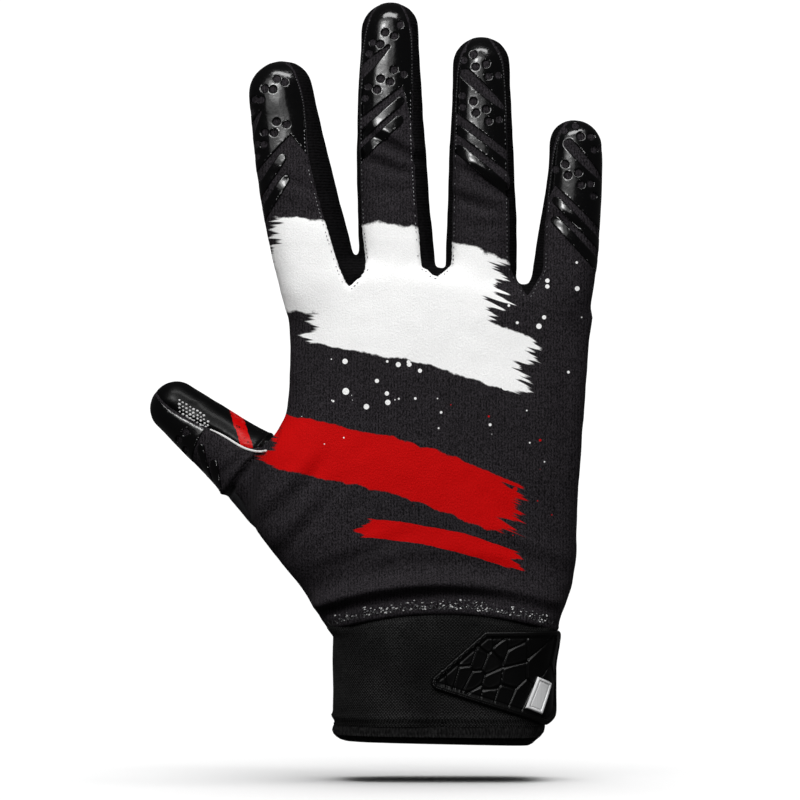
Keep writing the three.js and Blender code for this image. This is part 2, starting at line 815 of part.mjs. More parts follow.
addPiece(
  "cuff_band",
  cuffSolid(hemHeight + seamGap / 2, rootZ, 0)
    .subtract(cuffSolid(0, far, -bandWall))
    .subtract(aboveWristSeam(-seamGap / 2)),
  bandCloth,
);
addPiece("cuff_hem", hemSolid(), hemCloth);
addPiece("closure_strap", strapSolid(), bandCloth);
addPiece("closure_tab", tabSolid(), rubber);
addPiece("tab_badge", badgeSolid(), silver);

export default glove;
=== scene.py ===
import json
import math
import random

import bmesh
import bpy
import numpy as np
from mathutils import Matrix, Vector, noise
from mathutils.bvhtree import BVHTree

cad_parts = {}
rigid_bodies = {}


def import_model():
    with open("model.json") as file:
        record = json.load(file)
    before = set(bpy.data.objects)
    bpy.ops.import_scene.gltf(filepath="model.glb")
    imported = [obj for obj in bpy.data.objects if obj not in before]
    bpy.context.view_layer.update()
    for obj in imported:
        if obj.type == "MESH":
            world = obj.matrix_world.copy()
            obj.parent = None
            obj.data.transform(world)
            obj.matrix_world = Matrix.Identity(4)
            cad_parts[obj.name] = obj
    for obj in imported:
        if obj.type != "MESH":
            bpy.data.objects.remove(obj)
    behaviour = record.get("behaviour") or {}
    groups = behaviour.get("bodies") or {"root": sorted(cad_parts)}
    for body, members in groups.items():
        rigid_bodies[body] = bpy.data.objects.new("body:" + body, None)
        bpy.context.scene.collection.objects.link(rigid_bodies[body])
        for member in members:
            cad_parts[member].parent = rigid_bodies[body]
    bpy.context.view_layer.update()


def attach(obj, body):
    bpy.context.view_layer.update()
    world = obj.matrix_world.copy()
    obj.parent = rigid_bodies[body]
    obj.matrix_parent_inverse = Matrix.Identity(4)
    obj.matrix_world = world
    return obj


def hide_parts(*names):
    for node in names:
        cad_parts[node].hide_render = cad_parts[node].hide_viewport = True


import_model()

# Everything is shaped in millimetres and brought to metres when a piece is finished.
# +Z runs to the fingertips, +X to the little finger, -Y is the back of the hand.
mm = 0.001
xAxis = Vector((1, 0, 0))
yAxis = Vector((0, 1, 0))
zAxis = Vector((0, 0, 1))


def mix(a, b, t):
    return a + (b - a) * t


def smooth(t):
    t = min(1.0, max(0.0, t))
    return t * t * (3 - 2 * t)


def curve(table, t):
    # a smooth curve through rows of (t, value)
    if t <= table[0][0]:
        return table[0][1]
    for i in range(len(table) - 1):
        (ta, a), (tb, b) = table[i], table[i + 1]
        if t <= tb:
            before = table[max(0, i - 1)]
            after = table[min(len(table) - 1, i + 2)]
            ma = (b - before[1]) / (tb - before[0]) * (tb - ta)
            mb = (after[1] - a) / (after[0] - ta) * (tb - ta)
            s = (t - ta) / (tb - ta)
            h = s * s * (3 - 2 * s)
            return (
                a * (1 - h) + b * h
                + ma * s * (1 - s) ** 2 - mb * s * s * (1 - s)
            )
    return table[-1][1]


# ---------------------------------------------------------------- the hand's form

hand = {
    "seamZ": 41.9,  # crown of the wrist seam
    "seamArch": 5.2,
    "wristWide": 68.6,
    "wristDeep": 37,
    "wristSquare": 3.4,
    "long": 103.8,  # wrist seam to finger roots
    "wide": 97,
    "deep": 21,  # at the knuckles
    "square": 2.7,
    "webRise": 4.6,
    "rootSlope": 0.14,
    "rootBow": 0.2,
    "shift": 0.9,
    "fingerDeep": 19,
    "fingerSquare": 2.3,
    "fingerRoot": 24,
    "curlDeep": 11,
    "curlStart": 70,
    "sideSeam": 3.6,
    "voxel": 0.8,
    "cloth": 1.1,
}
rootZ = hand["seamZ"] + hand["long"]

# up, left and right edge, thinness and the share of the finger roots' fall
palmRows = [
    (-0.12, -0.362, 0.362, 0.0, 0),
    (-0.065, -0.363, 0.365, 0.0, 0),
    (-0.03, -0.389, 0.369, 0.02, 0),
    (0.007, -0.414, 0.382, 0.06, 0),
    (0.043, -0.437, 0.395, 0.08, 0),
    (0.079, -0.46, 0.408, 0.1, 0),
    (0.116, -0.493, 0.414, 0.13, 0),
    (0.17, -0.541, 0.423, 0.16, 0),
    (0.225, -0.587, 0.425, 0.2, 0),
    (0.29, -0.617, 0.428, 0.26, 0),
    (0.367, -0.62, 0.431, 0.34, 0),
    (0.483, -0.583, 0.44, 0.47, 0),
    (0.535, -0.55, 0.444, 0.53, 0),
    (0.598, -0.512, 0.45, 0.6, 0),
    (0.743, -0.498, 0.457, 0.78, 0.35),
    (0.893, -0.505, 0.465, 0.92, 0.75),
    (1.0, -0.53, 0.478, 1.0, 1),
]

# seams are rows of (distance from the fingertip, distance from the finger's axis)
fingers = {
    "index": {
        "long": 70.8, "wide": 24.9, "root": -0.405, "lean": -11.3, "sway": -0.03,
        "middle": 0.955, "tip": 0.8,
        "right": [(0, 2.6), (4, 5.4), (13, 6.9), (22, 6.4), (32, 5.3), (45, 5.7), (62, 6.8)],
    },
    "middle": {
        "long": 88.4, "wide": 23.7, "root": -0.146, "lean": -1.9, "sway": -0.06,
        "middle": 0.935, "tip": 0.75,
        "left": [(0, -3.4), (4, -6.1), (10, -7.9), (22, -9.3), (45, -10.1), (70, -10.6), (84, -10.4)],
        "right": [(0, 3.2), (4, 5.3), (8, 6.6), (14, 7.5), (30, 7.6), (45, 7.4), (70, 7.5), (84, 7.6)],
    },
    "ring": {
        "long": 77.3, "wide": 23, "root": 0.119, "lean": 0.1, "sway": 0,
        "middle": 0.91, "tip": 0.78,
        "left": [(0, -3.2), (4, -5.6), (8, -7.2), (14, -8.1), (30, -8.9), (50, -9.4), (72, -9.9)],
        "right": [(0, 2.6), (3, 4.3), (7, 6.5), (14, 7.6), (27, 8.2), (42, 8.5), (60, 8.9), (72, 9.2)],
    },
    "little": {
        "long": 51, "wide": 19.9, "root": 0.38, "lean": 5.4, "sway": 0.04,
        "middle": 0.93, "tip": 0.8,
        "left": [(0, -2.6), (4, -5.2), (8, -6.7), (14, -7.6), (31, -8.1), (41, -7.5), (48, -6.9)],
    },
}
# where each side strip turns between two fingers, as (x, z)
stripTurns = [
    ("index", "middle", [(-30.9, 147.3), (-28.9, 144.1), (-26.8, 146.2)]),
    ("middle", "ring", [(-4.4, 149.6), (-2.9, 147.9), (-1.2, 147.3), (0.5, 149)]),
    ("ring", "little", [(24.6, 145.4), (26.9, 141.4), (28.9, 145.2)]),
]

thumb = {
    "long": 81.4, "lean": -51.8, "height": 18.7, "offset": 27,
    "tipThick": 14.4, "rootThick": 34, "tipBroad": 19, "rootBroad": 27,
    "forward": 14,
    # how far the seam stands above the axis, along the thumb
    "seam": [
        (0.45, 9.5), (0.51, 8.0), (0.544, 5.6), (0.59, 3.6), (0.66, 2.8), (0.712, 2.1),
        (0.787, 0.5), (0.893, -0.9), (0.949, -0.7), (1, 0.3),
    ],
    # the crease where the thumb meets the hand, as (x, z)
    "crease": [
        (-52.4, 99), (-53.4, 95.8), (-57.6, 91.8), (-62.9, 86.4), (-67.6, 79.5), (-72, 71),
    ],
}


def ringAt(bm, centre, side, deep, halfWide, halfDeep, square, segments):
    made = bmesh.ops.create_circle(bm, cap_ends=False, segments=segments, radius=1)
    for v in made["verts"]:
        a = math.copysign(abs(v.co.x) ** (2 / square), v.co.x) * halfWide
        b = math.copysign(abs(v.co.y) ** (2 / square), v.co.y) * halfDeep
        v.co = centre + side * a + deep * b
    return list({e for v in made["verts"] for e in v.link_edges})


def loftRings(bm, rings, closed=True):
    for low, high in zip(rings, rings[1:]):
        bmesh.ops.bridge_loops(bm, edges=low + high)
    if closed:
        bmesh.ops.edgeloop_fill(bm, edges=rings[0])
        bmesh.ops.edgeloop_fill(bm, edges=rings[-1])


def rootFall(x):
    share = x / (hand["wide"] / 2)
    return hand["wide"] / 2 * (hand["rootSlope"] * share + hand["rootBow"] / 2 * share * share)


def palmTube(bm):
    columns = [[(row[0], row[i]) for row in palmRows] for i in (1, 2, 3, 4)]
    steps = 56
    tops = [(0.3, 0.955), (0.6, 0.83), (0.85, 0.62), (1, 0.25)]
    rings = []
    for i in range(steps + 1):
        up = mix(palmRows[0][0], 1, i / steps)
        left, right, thin, arch = [curve(column, up) for column in columns]
        square = mix(hand["wristSquare"], hand["square"], smooth(up * 7))
        rows = [(0, 1)] + (tops if i == steps else [])
        for rise, size in rows:
            centre = Vector((
                hand["shift"] + (left + right) / 2 * hand["wide"], 0,
                hand["seamZ"] + up * hand["long"] + rise * hand["webRise"],
            ))
            halfWide = (right - left) / 2 * hand["wide"] - (1 - size) * hand["webRise"]
            halfDeep = mix(hand["wristDeep"], hand["deep"], thin) / 2 * size
            ring = ringAt(bm, centre, xAxis, yAxis, halfWide, halfDeep, square, 72)
            for v in {v for e in ring for v in e.verts}:
                v.co.z -= arch * rootFall(v.co.x)
            rings.append(ring)
    loftRings(bm, rings)


def fingerAxes(f):
    lean = math.radians(f["lean"])
    along = Vector((math.sin(lean), 0, math.cos(lean)))
    side = Vector((math.cos(lean), 0, -math.sin(lean)))
    root = Vector((hand["shift"] + f["root"] * hand["wide"], 0, rootZ))
    return root, along, side


def fingerBow(f, distance):
    t = np.clip(distance / f["long"], 0, 1)
    return f["sway"] * f["wide"] * 4 * t * (1 - t)


def fingerPlace(f, fromTip, across):
    root, along, side = fingerAxes(f)
    distance = f["long"] - fromTip
    return root + along * distance + side * (across + fingerBow(f, distance))


def fingerHalf(f, distance):
    straight = f["long"] - f["wide"] * f["tip"] / 2
    t = min(1, max(0, distance / straight))
    bend = f["middle"] - (1 + f["tip"]) / 2
    return f["wide"] / 2 * (mix(1, f["tip"], t) + 4 * bend * t * (1 - t))


def fingerTube(bm, f):
    tipRound = f["wide"] * f["tip"] / 2
    straight = f["long"] - tipRound
    _, _, side = fingerAxes(f)
    rings = []
    steps = 26
    for i in range(steps + 1):
        distance = mix(-hand["fingerRoot"], straight, i / steps)
        t = max(0, distance / straight)
        sunk = smooth(-distance / hand["fingerRoot"]) * 3
        wide = fingerHalf(f, distance) - sunk
        deep = hand["fingerDeep"] / 2 * mix(1, f["tip"], t) - sunk
        rings.append((distance, wide, deep))
    for share in (0.2, 0.4, 0.58, 0.73, 0.85, 0.93, 0.98, 0.998):
        size = math.sqrt(1 - share * share)
        rings.append((straight + share * tipRound, wide * size, deep * size))
    loftRings(bm, [
        ringAt(
            bm, fingerPlace(f, f["long"] - distance, 0), side, yAxis,
            halfWide, halfDeep, hand["fingerSquare"], 40,
        )
        for distance, halfWide, halfDeep in rings
    ])


def thumbAxes():
    lean = math.radians(thumb["lean"])
    root = Vector((
        hand["shift"] - thumb["offset"], thumb["forward"] * 0.3,
        hand["seamZ"] + thumb["height"],
    ))
    tip = root + Vector((math.sin(lean), 0, math.cos(lean))) * thumb["long"]
    tip.y = root.y + thumb["forward"]
    along = (tip - root).normalized()
    up = yAxis.cross(along).normalized()
    return root, along, up, along.cross(up).normalized(), (tip - root).length


def thumbHalves(share):
    return (
        mix(thumb["rootThick"], thumb["tipThick"], share) / 2,
        mix(thumb["rootBroad"], thumb["tipBroad"], share) / 2,
    )


def thumbTube(bm):
    root, along, up, deep, reach = thumbAxes()
    tipRound = thumb["tipThick"] / 2
    straight = reach - tipRound
    rings = []
    for i in range(25):
        distance = mix(0, straight, i / 24)
        thick, broad = thumbHalves(distance / reach)
        rings.append((distance, thick, broad))
    for share in (0.2, 0.4, 0.58, 0.73, 0.85, 0.93, 0.98, 0.998):
        size = math.sqrt(1 - share * share)
        rings.append((straight + share * tipRound, thick * size, broad * size))
    loftRings(bm, [
        ringAt(bm, root + along * distance, up, deep, thick, broad, hand["fingerSquare"], 40)
        for distance, thick, broad in rings
    ])


def wristSeamAt(x):
    return hand["seamZ"] - hand["seamArch"] * (x / (hand["wristWide"] / 2)) ** 2


def curlAt(z):
    run = hand["long"] + 88.4 - hand["curlStart"]
    share = np.maximum(0, z - hand["seamZ"] - hand["curlStart"]) / run
    return hand["curlDeep"] * share * share


# ------------------------------------------------------------ working with meshes

def coordsOf(bm):
    return np.array([v.co for v in bm.verts])


def setField(bm, name, values):
    layers = bm.verts.layers.float
    layer = layers.get(name) or layers.new(name)
    for v, value in zip(bm.verts, values):
        v[layer] = value


def cutWhere(bm, name, level=0.0, near=0.04):
    # splits each triangle that the field crosses at this level
    layers = bm.verts.layers.float
    layer = layers[name]
    for v in bm.verts:
        if abs(v[layer] - level) < near:
            v[layer] = level
    crossing = []
    for e in bm.edges:
        a, b = e.verts
        if (a[layer] - level) * (b[layer] - level) < 0:
            crossing.append(e)
    fresh = []
    for e in crossing:
        a, b = e.verts
        t = (level - a[layer]) / (b[layer] - a[layer])
        kept = [(other, mix(a[other], b[other], t)) for other in layers.values()]
        v = bmesh.utils.edge_split(e, a, t)[1]
        for other, value in kept:
            v[other] = value
        v[layer] = level
        fresh.append(v)
    bmesh.ops.connect_verts(bm, verts=fresh)


def faceValue(face, layer):
    return sum(v[layer] for v in face.verts) / len(face.verts)


def partOf(bm, keep):
    # a copy of the faces that keep says yes to
    part = bm.copy()
    drop = [f for f in part.faces if not keep(f)]
    bmesh.ops.delete(part, geom=drop, context="FACES")
    return part


def segmentDistance(points, a, b):
    a, b = np.array(a, float), np.array(b, float)
    run = b - a
    t = np.clip(((points - a) @ run) / (run @ run), 0, 1)
    return np.linalg.norm(points - a - t[:, None] * run, axis=1)


def outlineField(points, outline):
    # the distance to a closed outline, positive inside
    far = np.full(len(points), 1e9)
    inside = np.zeros(len(points), bool)
    for a, b in zip(outline, outline[1:] + outline[:1]):
        far = np.minimum(far, segmentDistance(points, a, b))
        above = (a[1] > points[:, 1]) != (b[1] > points[:, 1])
        rise = (b[1] - a[1]) or 1e-9
        cross = a[0] + (points[:, 1] - a[1]) * (b[0] - a[0]) / rise
        inside ^= above & (points[:, 0] < cross)
    return np.where(inside, far, -far)


def smoothPath(points, spacing=1.5):
    # a denser, rounded copy of an open path in two dimensions
    out = []
    for i in range(len(points) - 1):
        p = [np.array(points[max(0, min(len(points) - 1, i + k))], float) for k in (-1, 0, 1, 2)]
        count = max(1, int(np.linalg.norm(p[2] - p[1]) / spacing))
        for k in range(count):
            t = k / count
            out.append(tuple(0.5 * (
                2 * p[1] + (p[2] - p[0]) * t
                + (2 * p[0] - 5 * p[1] + 4 * p[2] - p[3]) * t ** 2
                + (3 * p[1] - p[0] - 3 * p[2] + p[3]) * t ** 3
            )))
    out.append(tuple(points[-1]))
    return out


def finished(name, bm, nodes, curl=True, material=None):
    # bends the piece with the hand, brings it to metres and hands it over
    if curl:
        for v in bm.verts:
            v.co.y += curlAt(v.co.z)
    bmesh.ops.scale(bm, vec=(mm, mm, mm), verts=bm.verts)
    mesh = bpy.data.meshes.new(name)
    bm.to_mesh(mesh)
    bm.free()
    for polygon in mesh.polygons:
        polygon.use_smooth = True
    for layer in list(mesh.attributes):
        if layer.name in fieldNames:
            mesh.attributes.remove(layer)
    piece = bpy.data.objects.new(name, mesh)
    bpy.context.collection.objects.link(piece)
    if material:
        mesh.materials.append(material)
    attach(piece, "root")
    if nodes:
        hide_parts(*nodes)
    return piece


def thicken(piece, thickness, offset=-1):
    wall = piece.modifiers.new("wall", "SOLIDIFY")
    wall.thickness = thickness * mm
    wall.offset = offset
    wall.use_even_offset = False
    return wall


fieldNames = [
    "side", "strip0", "strip1", "strip2", "thumb", "thumbSeam", "wrist", "print", "border", "tab",
    "wayX", "wayY", "wayZ",
]

# --------------------------------------------------------------- one skin, remeshed

print("building the hand's skin")
body = bmesh.new()
palmTube(body)
for f in fingers.values():
    fingerTube(body, f)
thumbTube(body)
bmesh.ops.recalc_face_normals(body, faces=body.faces)
mesh = bpy.data.meshes.new("body")
body.to_mesh(mesh)
body.free()
bodyObject = bpy.data.objects.new("body", mesh)
bpy.context.collection.objects.link(bodyObject)
remesh = bodyObject.modifiers.new("remesh", "REMESH")
remesh.mode = "VOXEL"
remesh.voxel_size = hand["voxel"]
evaluated = bodyObject.evaluated_get(bpy.context.evaluated_depsgraph_get())
skin = bmesh.new()
skin.from_mesh(evaluated.to_mesh())
evaluated.to_mesh_clear()
bpy.data.objects.remove(bodyObject)
for _ in range(6):
    bmesh.ops.smooth_vert(skin, verts=skin.verts, factor=0.5, use_axis_x=True, use_axis_y=True, use_axis_z=True)
webs = [v for v in skin.verts if 118 < v.co.z < 158 and abs(v.co.y) > 4 or 138 < v.co.z < 150]
for _ in range(26):
    bmesh.ops.smooth_vert(skin, verts=webs, factor=0.5, use_axis_x=True, use_axis_y=True, use_axis_z=True)
thumbRoot = [v for v in skin.verts if v.co.x < -44 and 58 < v.co.z < 108 and v.co.y < 12]
for _ in range(24):
    bmesh.ops.smooth_vert(skin, verts=thumbRoot, factor=0.5, use_axis_x=True, use_axis_y=True, use_axis_z=True)
bmesh.ops.triangulate(skin, faces=skin.faces)
print("skin faces", len(skin.faces))

# ----------------------------------------------------------------- seams and panels

print("cutting the panels")


def stripOutline(left, right, turn):
    rising = [fingerPlace(fingers[left], d, a) for d, a in fingers[left]["right"]]
    falling = [fingerPlace(fingers[right], d, a) for d, a in fingers[right]["left"]]
    rising = [(p.x, p.z) for p in rising]
    falling = [(p.x, p.z) for p in falling]
    path = smoothPath(rising + turn + falling[::-1])
    top = [(falling[0][0], 260), (rising[0][0], 260)]
    return path, path + top


stripPaths = []
coords = coordsOf(skin)
flat = coords[:, [0, 2]]
setField(skin, "side", coords[:, 1] - hand["sideSeam"])
for i, (left, right, turn) in enumerate(stripTurns):
    path, outline = stripOutline(left, right, turn)
    stripPaths.append(path)
    setField(skin, f"strip{i}", outlineField(flat, outline))
creasePath = smoothPath(thumb["crease"])
setField(skin, "thumb", outlineField(flat, creasePath + [(-130, 71), (-130, 128), (-52.4, 128)]))
root, along, up, deep, reach = thumbAxes()
fromRoot = coords - np.array(root)
shares = (fromRoot @ np.array(along)) / reach
ups = fromRoot @ np.array(up)
deeps = fromRoot @ np.array(deep)
seamRise = np.array([curve(thumb["seam"], s) for s in shares])
broadHalf = mix(thumb["rootBroad"], thumb["tipBroad"], np.clip(shares, 0, 1)) / 2
setField(skin, "thumbSeam", ups + seamRise * np.clip(deeps / broadHalf, -1, 1))
setField(skin, "wrist", coords[:, 2] - wristSeamAt(coords[:, 0]))
for name in ("wrist", "thumb", "side", "strip0", "strip1", "strip2", "thumbSeam"):
    cutWhere(skin, name)
wristLayer = skin.verts.layers.float["wrist"]
bmesh.ops.delete(
    skin, geom=[f for f in skin.faces if faceValue(f, wristLayer) < 0], context="FACES",
)
print("skin faces after the cuts", len(skin.faces))

# ------------------------------------------------------------------ folds and grooves

relief = {
    "grooveDeep": 0.55,
    "grooveWide": 0.75,
    "stripSink": 0.3,
    "creaseDeep": 1.3,
    "creaseWide": 0.85,
    "creaseRidge": 0.9,
    "creaseFill": 0.9,
    # height above the wrist seam, and how far the cloth stands out there
    "wrist": [
        (0, -0.9), (0.5, 0.1), (1.1, 0.35), (1.8, 0.05), (4.2, 0.1), (5.6, -1.2), (6.8, -1.0),
        (9, 1.7), (10.8, 1.3), (13, 0.1), (16, -0.4), (20, 0), (26, 0),
    ],
    # soft wrinkles: middle x and z, turn in degrees, half length, half width, depth
    "wrinkles": [
        (-14.5, 187.5, -24, 9, 1.6, 1.7), (-17, 181.5, -14, 9, 1.7, 1.1), (-16, 174, 10, 7, 1.8, 0.4),
        (14.5, 176.5, -24, 9, 1.7, 1.8), (10, 170, -12, 9, 1.8, 1.1), (13, 163, 8, 7, 1.7, 0.4),
        (39, 164, -14, 7, 1.7, 0.8), (-45, 176, -20, 8, 1.8, 0.6),
        (-44, 168, -14, 9, 2.2, 0.35),
        (-52, 74, 47, 14, 2.2, 1.0), (-45, 66, 52, 15, 2.4, 1.0), (-42, 82, 62, 12, 2.4, 0.6),
        (-30, 58, 24, 14, 2.2, 0.6), (26, 60, -20, 13, 2.4, 0.6), (34, 70, -60, 11, 2.3, 0.6),
        (-40, 118, 70, 15, 3.2, 0.35), (38, 112, -80, 18, 3.0, 0.4), (-66, 88, 45, 8, 1.4, 0.5),
    ],
    # the same on the palm side: bends of the fingers, the palm's lines and the thumb's mound
    "palmFolds": [
        (-42.5, 168, 11, 9, 1.0, 0.7), (-47.5, 190, 11, 8, 1.0, 0.6), (-15, 172, 2, 9, 1.0, 0.7),
        (-16.5, 198, 2, 8, 1.0, 0.6), (12.5, 170, 0, 9, 1.0, 0.7), (12.5, 192, 0, 8, 1.0, 0.6),
        (39.5, 158, -5, 8, 1.0, 0.65), (40.5, 176, -5, 7, 1.0, 0.55),
        (-12, 122, 14, 30, 1.3, 0.8), (8, 108, -12, 28, 1.3, 0.7), (-22, 84, 64, 26, 1.4, 0.8),
        (4, 66, 30, 18, 2.2, 0.5), (24, 88, -70, 20, 2.4, 0.4), (0, 54, 6, 22, 1.6, 0.45),
    ],
    "hollow": 1.0,  # fills the outer edge below the thumb
}


def wrinkleAt(flat, x, z, turn, halfLong, halfWide, depth):
    a = math.radians(turn)
    u = (flat[:, 0] - x) * math.cos(a) + (flat[:, 1] - z) * math.sin(a)
    v = (flat[:, 1] - z) * math.cos(a) - (flat[:, 0] - x) * math.sin(a)
    v = v + 0.6 * np.sin(u / halfLong * 2.1)
    fade = np.exp(-(u / halfLong) ** 2)
    dip = np.exp(-(v / halfWide) ** 2) - 0.6 * np.exp(-((v - 2 * halfWide) / halfWide) ** 2)
    return -depth * fade * dip


def shapeSkin(bm):
    bm.normal_update()
    layers = bm.verts.layers.float
    read = {n: np.array([v[layers[n]] for v in bm.verts]) for n in fieldNames[:7]}
    coords = coordsOf(bm)
    flat = coords[:, [0, 2]]
    front = np.clip((hand["sideSeam"] + 0.8 - coords[:, 1]) / 1.2, 0, 1)
    beyond = read["thumb"] > 0
    rise = -relief["grooveDeep"] * np.exp(-(read["side"] / relief["grooveWide"]) ** 2) * ~beyond
    below = np.ones(len(coords))
    for f in fingers.values():
        root, along, side = fingerAxes(f)
        rel = coords - np.array(root)
        near = np.abs(rel @ np.array(side)) < f["wide"] * 0.62
        fromTip = f["long"] - rel @ np.array(along)
        below = np.where(near, np.clip((fromTip - 5) / 10, 0, 1), below)
    for i in range(3):
        strip = read[f"strip{i}"]
        groove = np.exp(-(strip / relief["grooveWide"]) ** 2)
        rise -= front * relief["grooveDeep"] * groove * (0.1 + 0.9 * below)
        rise -= front * relief["stripSink"] * np.clip(strip / 0.8, 0, 1) * below
    root, along, _, _, reach = thumbAxes()
    toTip = reach - (coords - np.array(root)) @ np.array(along)
    seam = np.exp(-(read["thumbSeam"] / relief["grooveWide"]) ** 2) * beyond
    seam *= 0.12 + 0.88 * np.clip((toTip - 3) / 8, 0, 1)
    rise -= relief["grooveDeep"] * seam
    crease = read["thumb"]
    facing = -np.array([v.normal.y for v in bm.verts])
    toFront = np.clip((facing - 0.2) / 0.5, 0, 1)
    toPalm = np.clip((-facing - 0.2) / 0.5, 0, 1)
    away = np.clip((facing + 0.1) / 0.4, 0.1, 1)
    rise -= away * relief["creaseDeep"] * np.exp(-((crease + 0.9) / relief["creaseWide"]) ** 2)
    rise += away * relief["creaseRidge"] * np.exp(-((crease - 0.9) / 1.0) ** 2)
    rise += away * relief["creaseFill"] * np.exp(-((crease - 2.5) / 3.5) ** 2)
    folded = np.array([curve(relief["wrist"], w) for w in read["wrist"]])
    toLeft = np.clip((12 - coords[:, 0]) / 30, -0.45, 0.6)
    folded = np.where(read["wrist"] < 4.2, folded, folded * (1 + toLeft))
    rise += folded * np.where(read["wrist"] < 2.2, 0.4 + 0.6 * toFront, 0.05 + 0.95 * toFront)
    for row in relief["wrinkles"]:
        rise += toFront * wrinkleAt(flat, *row)
    for row in relief["palmFolds"]:
        rise += toPalm * wrinkleAt(flat, *row)
    rise += relief["hollow"] * np.exp(-(((flat - (-60, 70)) / 6) ** 2).sum(axis=1))
    rise += 0.25
    for i, v in enumerate(bm.verts):
        place = v.co * 0.045
        rise[i] += 0.45 * noise.noise(place) + 0.12 * noise.noise(v.co * 0.19)
    for v, amount in zip(bm.verts, rise):
        v.co += v.normal * float(amount)


shapeSkin(skin)
skin.normal_update()
skinTree = BVHTree.FromBMesh(skin)
print("skin shaped")


def onSkin(x, z, lift=0.0):
    # the place and normal on the back of the glove, seen along +Y
    place, normal, _, _ = skinTree.ray_cast(Vector((x, -80, z)), yAxis)
    if place is None:
        return None, None
    return place + normal * lift, normal


# -------------------------------------------------------------------------- materials

def newMaterial(name):
    material = bpy.data.materials.new(name)
    material.use_nodes = True
    nodes = material.node_tree.nodes
    return material, nodes, material.node_tree.links, nodes["Principled BSDF"]


class Graph:
    # short names for the nodes that the materials share
    def __init__(self, name):
        self.material, self.nodes, self.links, self.shader = newMaterial(name)
        self.place = self.nodes.new("ShaderNodeTexCoord").outputs["Object"]

    def put(self, socket, value):
        if isinstance(value, bpy.types.NodeSocket):
            self.links.new(value, socket)
        elif value is not None:
            socket.default_value = value

    def math(self, operation, a, b=None, c=None, clamp=False):
        node = self.nodes.new("ShaderNodeMath")
        node.operation = operation
        node.use_clamp = clamp
        for socket, value in zip(node.inputs, (a, b, c)):
            self.put(socket, value)
        return node.outputs[0]

    def split(self, vector):
        node = self.nodes.new("ShaderNodeSeparateXYZ")
        self.put(node.inputs[0], vector)
        return node.outputs

    def join(self, x, y, z):
        node = self.nodes.new("ShaderNodeCombineXYZ")
        for socket, value in zip(node.inputs, (x, y, z)):
            self.put(socket, value)
        return node.outputs[0]

    def mapping(self, vector, place=(0, 0, 0), turn=(0, 0, 0), size=(1, 1, 1)):
        node = self.nodes.new("ShaderNodeMapping")
        self.put(node.inputs["Vector"], vector)
        node.inputs["Location"].default_value = place
        node.inputs["Rotation"].default_value = turn
        node.inputs["Scale"].default_value = size
        return node.outputs[0]

    def noise(self, vector, scale, detail=2.0, rough=0.5, distortion=0.0):
        node = self.nodes.new("ShaderNodeTexNoise")
        self.put(node.inputs["Vector"], vector)
        node.inputs["Scale"].default_value = scale
        node.inputs["Detail"].default_value = detail
        node.inputs["Roughness"].default_value = rough
        node.inputs["Distortion"].default_value = distortion
        return node.outputs["Fac"]

    def cells(self, vector, scale, feature="F1", randomness=1.0):
        node = self.nodes.new("ShaderNodeTexVoronoi")
        node.feature = feature
        self.put(node.inputs["Vector"], vector)
        node.inputs["Scale"].default_value = scale
        node.inputs["Randomness"].default_value = randomness
        return node.outputs

    def ramp(self, value, stops):
        node = self.nodes.new("ShaderNodeValToRGB")
        self.put(node.inputs[0], value)
        elements = node.color_ramp.elements
        while len(elements) < len(stops):
            elements.new(0.5)
        for element, (at, colour) in zip(elements, stops):
            element.position = at
            grey = not isinstance(colour, tuple)
            element.color = (colour, colour, colour, 1) if grey else (*colour, 1)
        return node.outputs[0]

    def step(self, value, low, high, kind="SMOOTHSTEP"):
        node = self.nodes.new("ShaderNodeMapRange")
        node.interpolation_type = kind
        self.put(node.inputs["Value"], value)
        node.inputs["From Min"].default_value = low
        node.inputs["From Max"].default_value = high
        return node.outputs[0]

    def blend(self, amount, a, b):
        node = self.nodes.new("ShaderNodeMix")
        node.data_type = "RGBA"
        self.put(node.inputs[0], amount)
        for socket, value in ((node.inputs[6], a), (node.inputs[7], b)):
            self.put(socket, (*value, 1) if isinstance(value, tuple) else value)
        return node.outputs[2]

    def bump(self, height, strength, distance, under=None):
        node = self.nodes.new("ShaderNodeBump")
        node.inputs["Strength"].default_value = strength
        node.inputs["Distance"].default_value = distance
        self.put(node.inputs["Height"], height)
        if under is not None:
            self.put(node.inputs["Normal"], under)
        return node.outputs[0]

    def finish(self, colour=None, roughness=None, normal=None, **sockets):
        self.put(self.shader.inputs["Base Color"], (*colour, 1) if isinstance(colour, tuple) else colour)
        self.put(self.shader.inputs["Roughness"], roughness)
        if normal is not None:
            self.put(self.shader.inputs["Normal"], normal)
        for name, value in sockets.items():
            self.shader.inputs[name.replace("_", " ")].default_value = value
        return self.material


def waves(graph, value, pitch):
    # a sine along a length in metres, from 0 to 1
    turn = graph.math("MULTIPLY", value, 2 * math.pi / pitch)
    return graph.math("MULTIPLY_ADD", graph.math("SINE", turn), 0.5, 0.5)


knit = {
    "ground": (0.0012, 0.0011, 0.0014),
    "light": (0.0345, 0.0305, 0.035),
    "ribPitch": 0.00096,
    "grain": 2900,
    "white": (0.93, 0.93, 0.925),
    "red": (0.5, 0.0012, 0.0014),
}


def brushStroke(g, place, turn, halfLong, halfWide, seed):
    # the flat place of one brush stroke, turned: gives the along and across coordinates and the flat place
    x, y, z = g.split(place)
    plane = g.join(x, z, 0.0)
    u, v, _ = g.split(g.mapping(plane, turn=(0, 0, math.radians(turn))))
    return u, v, plane


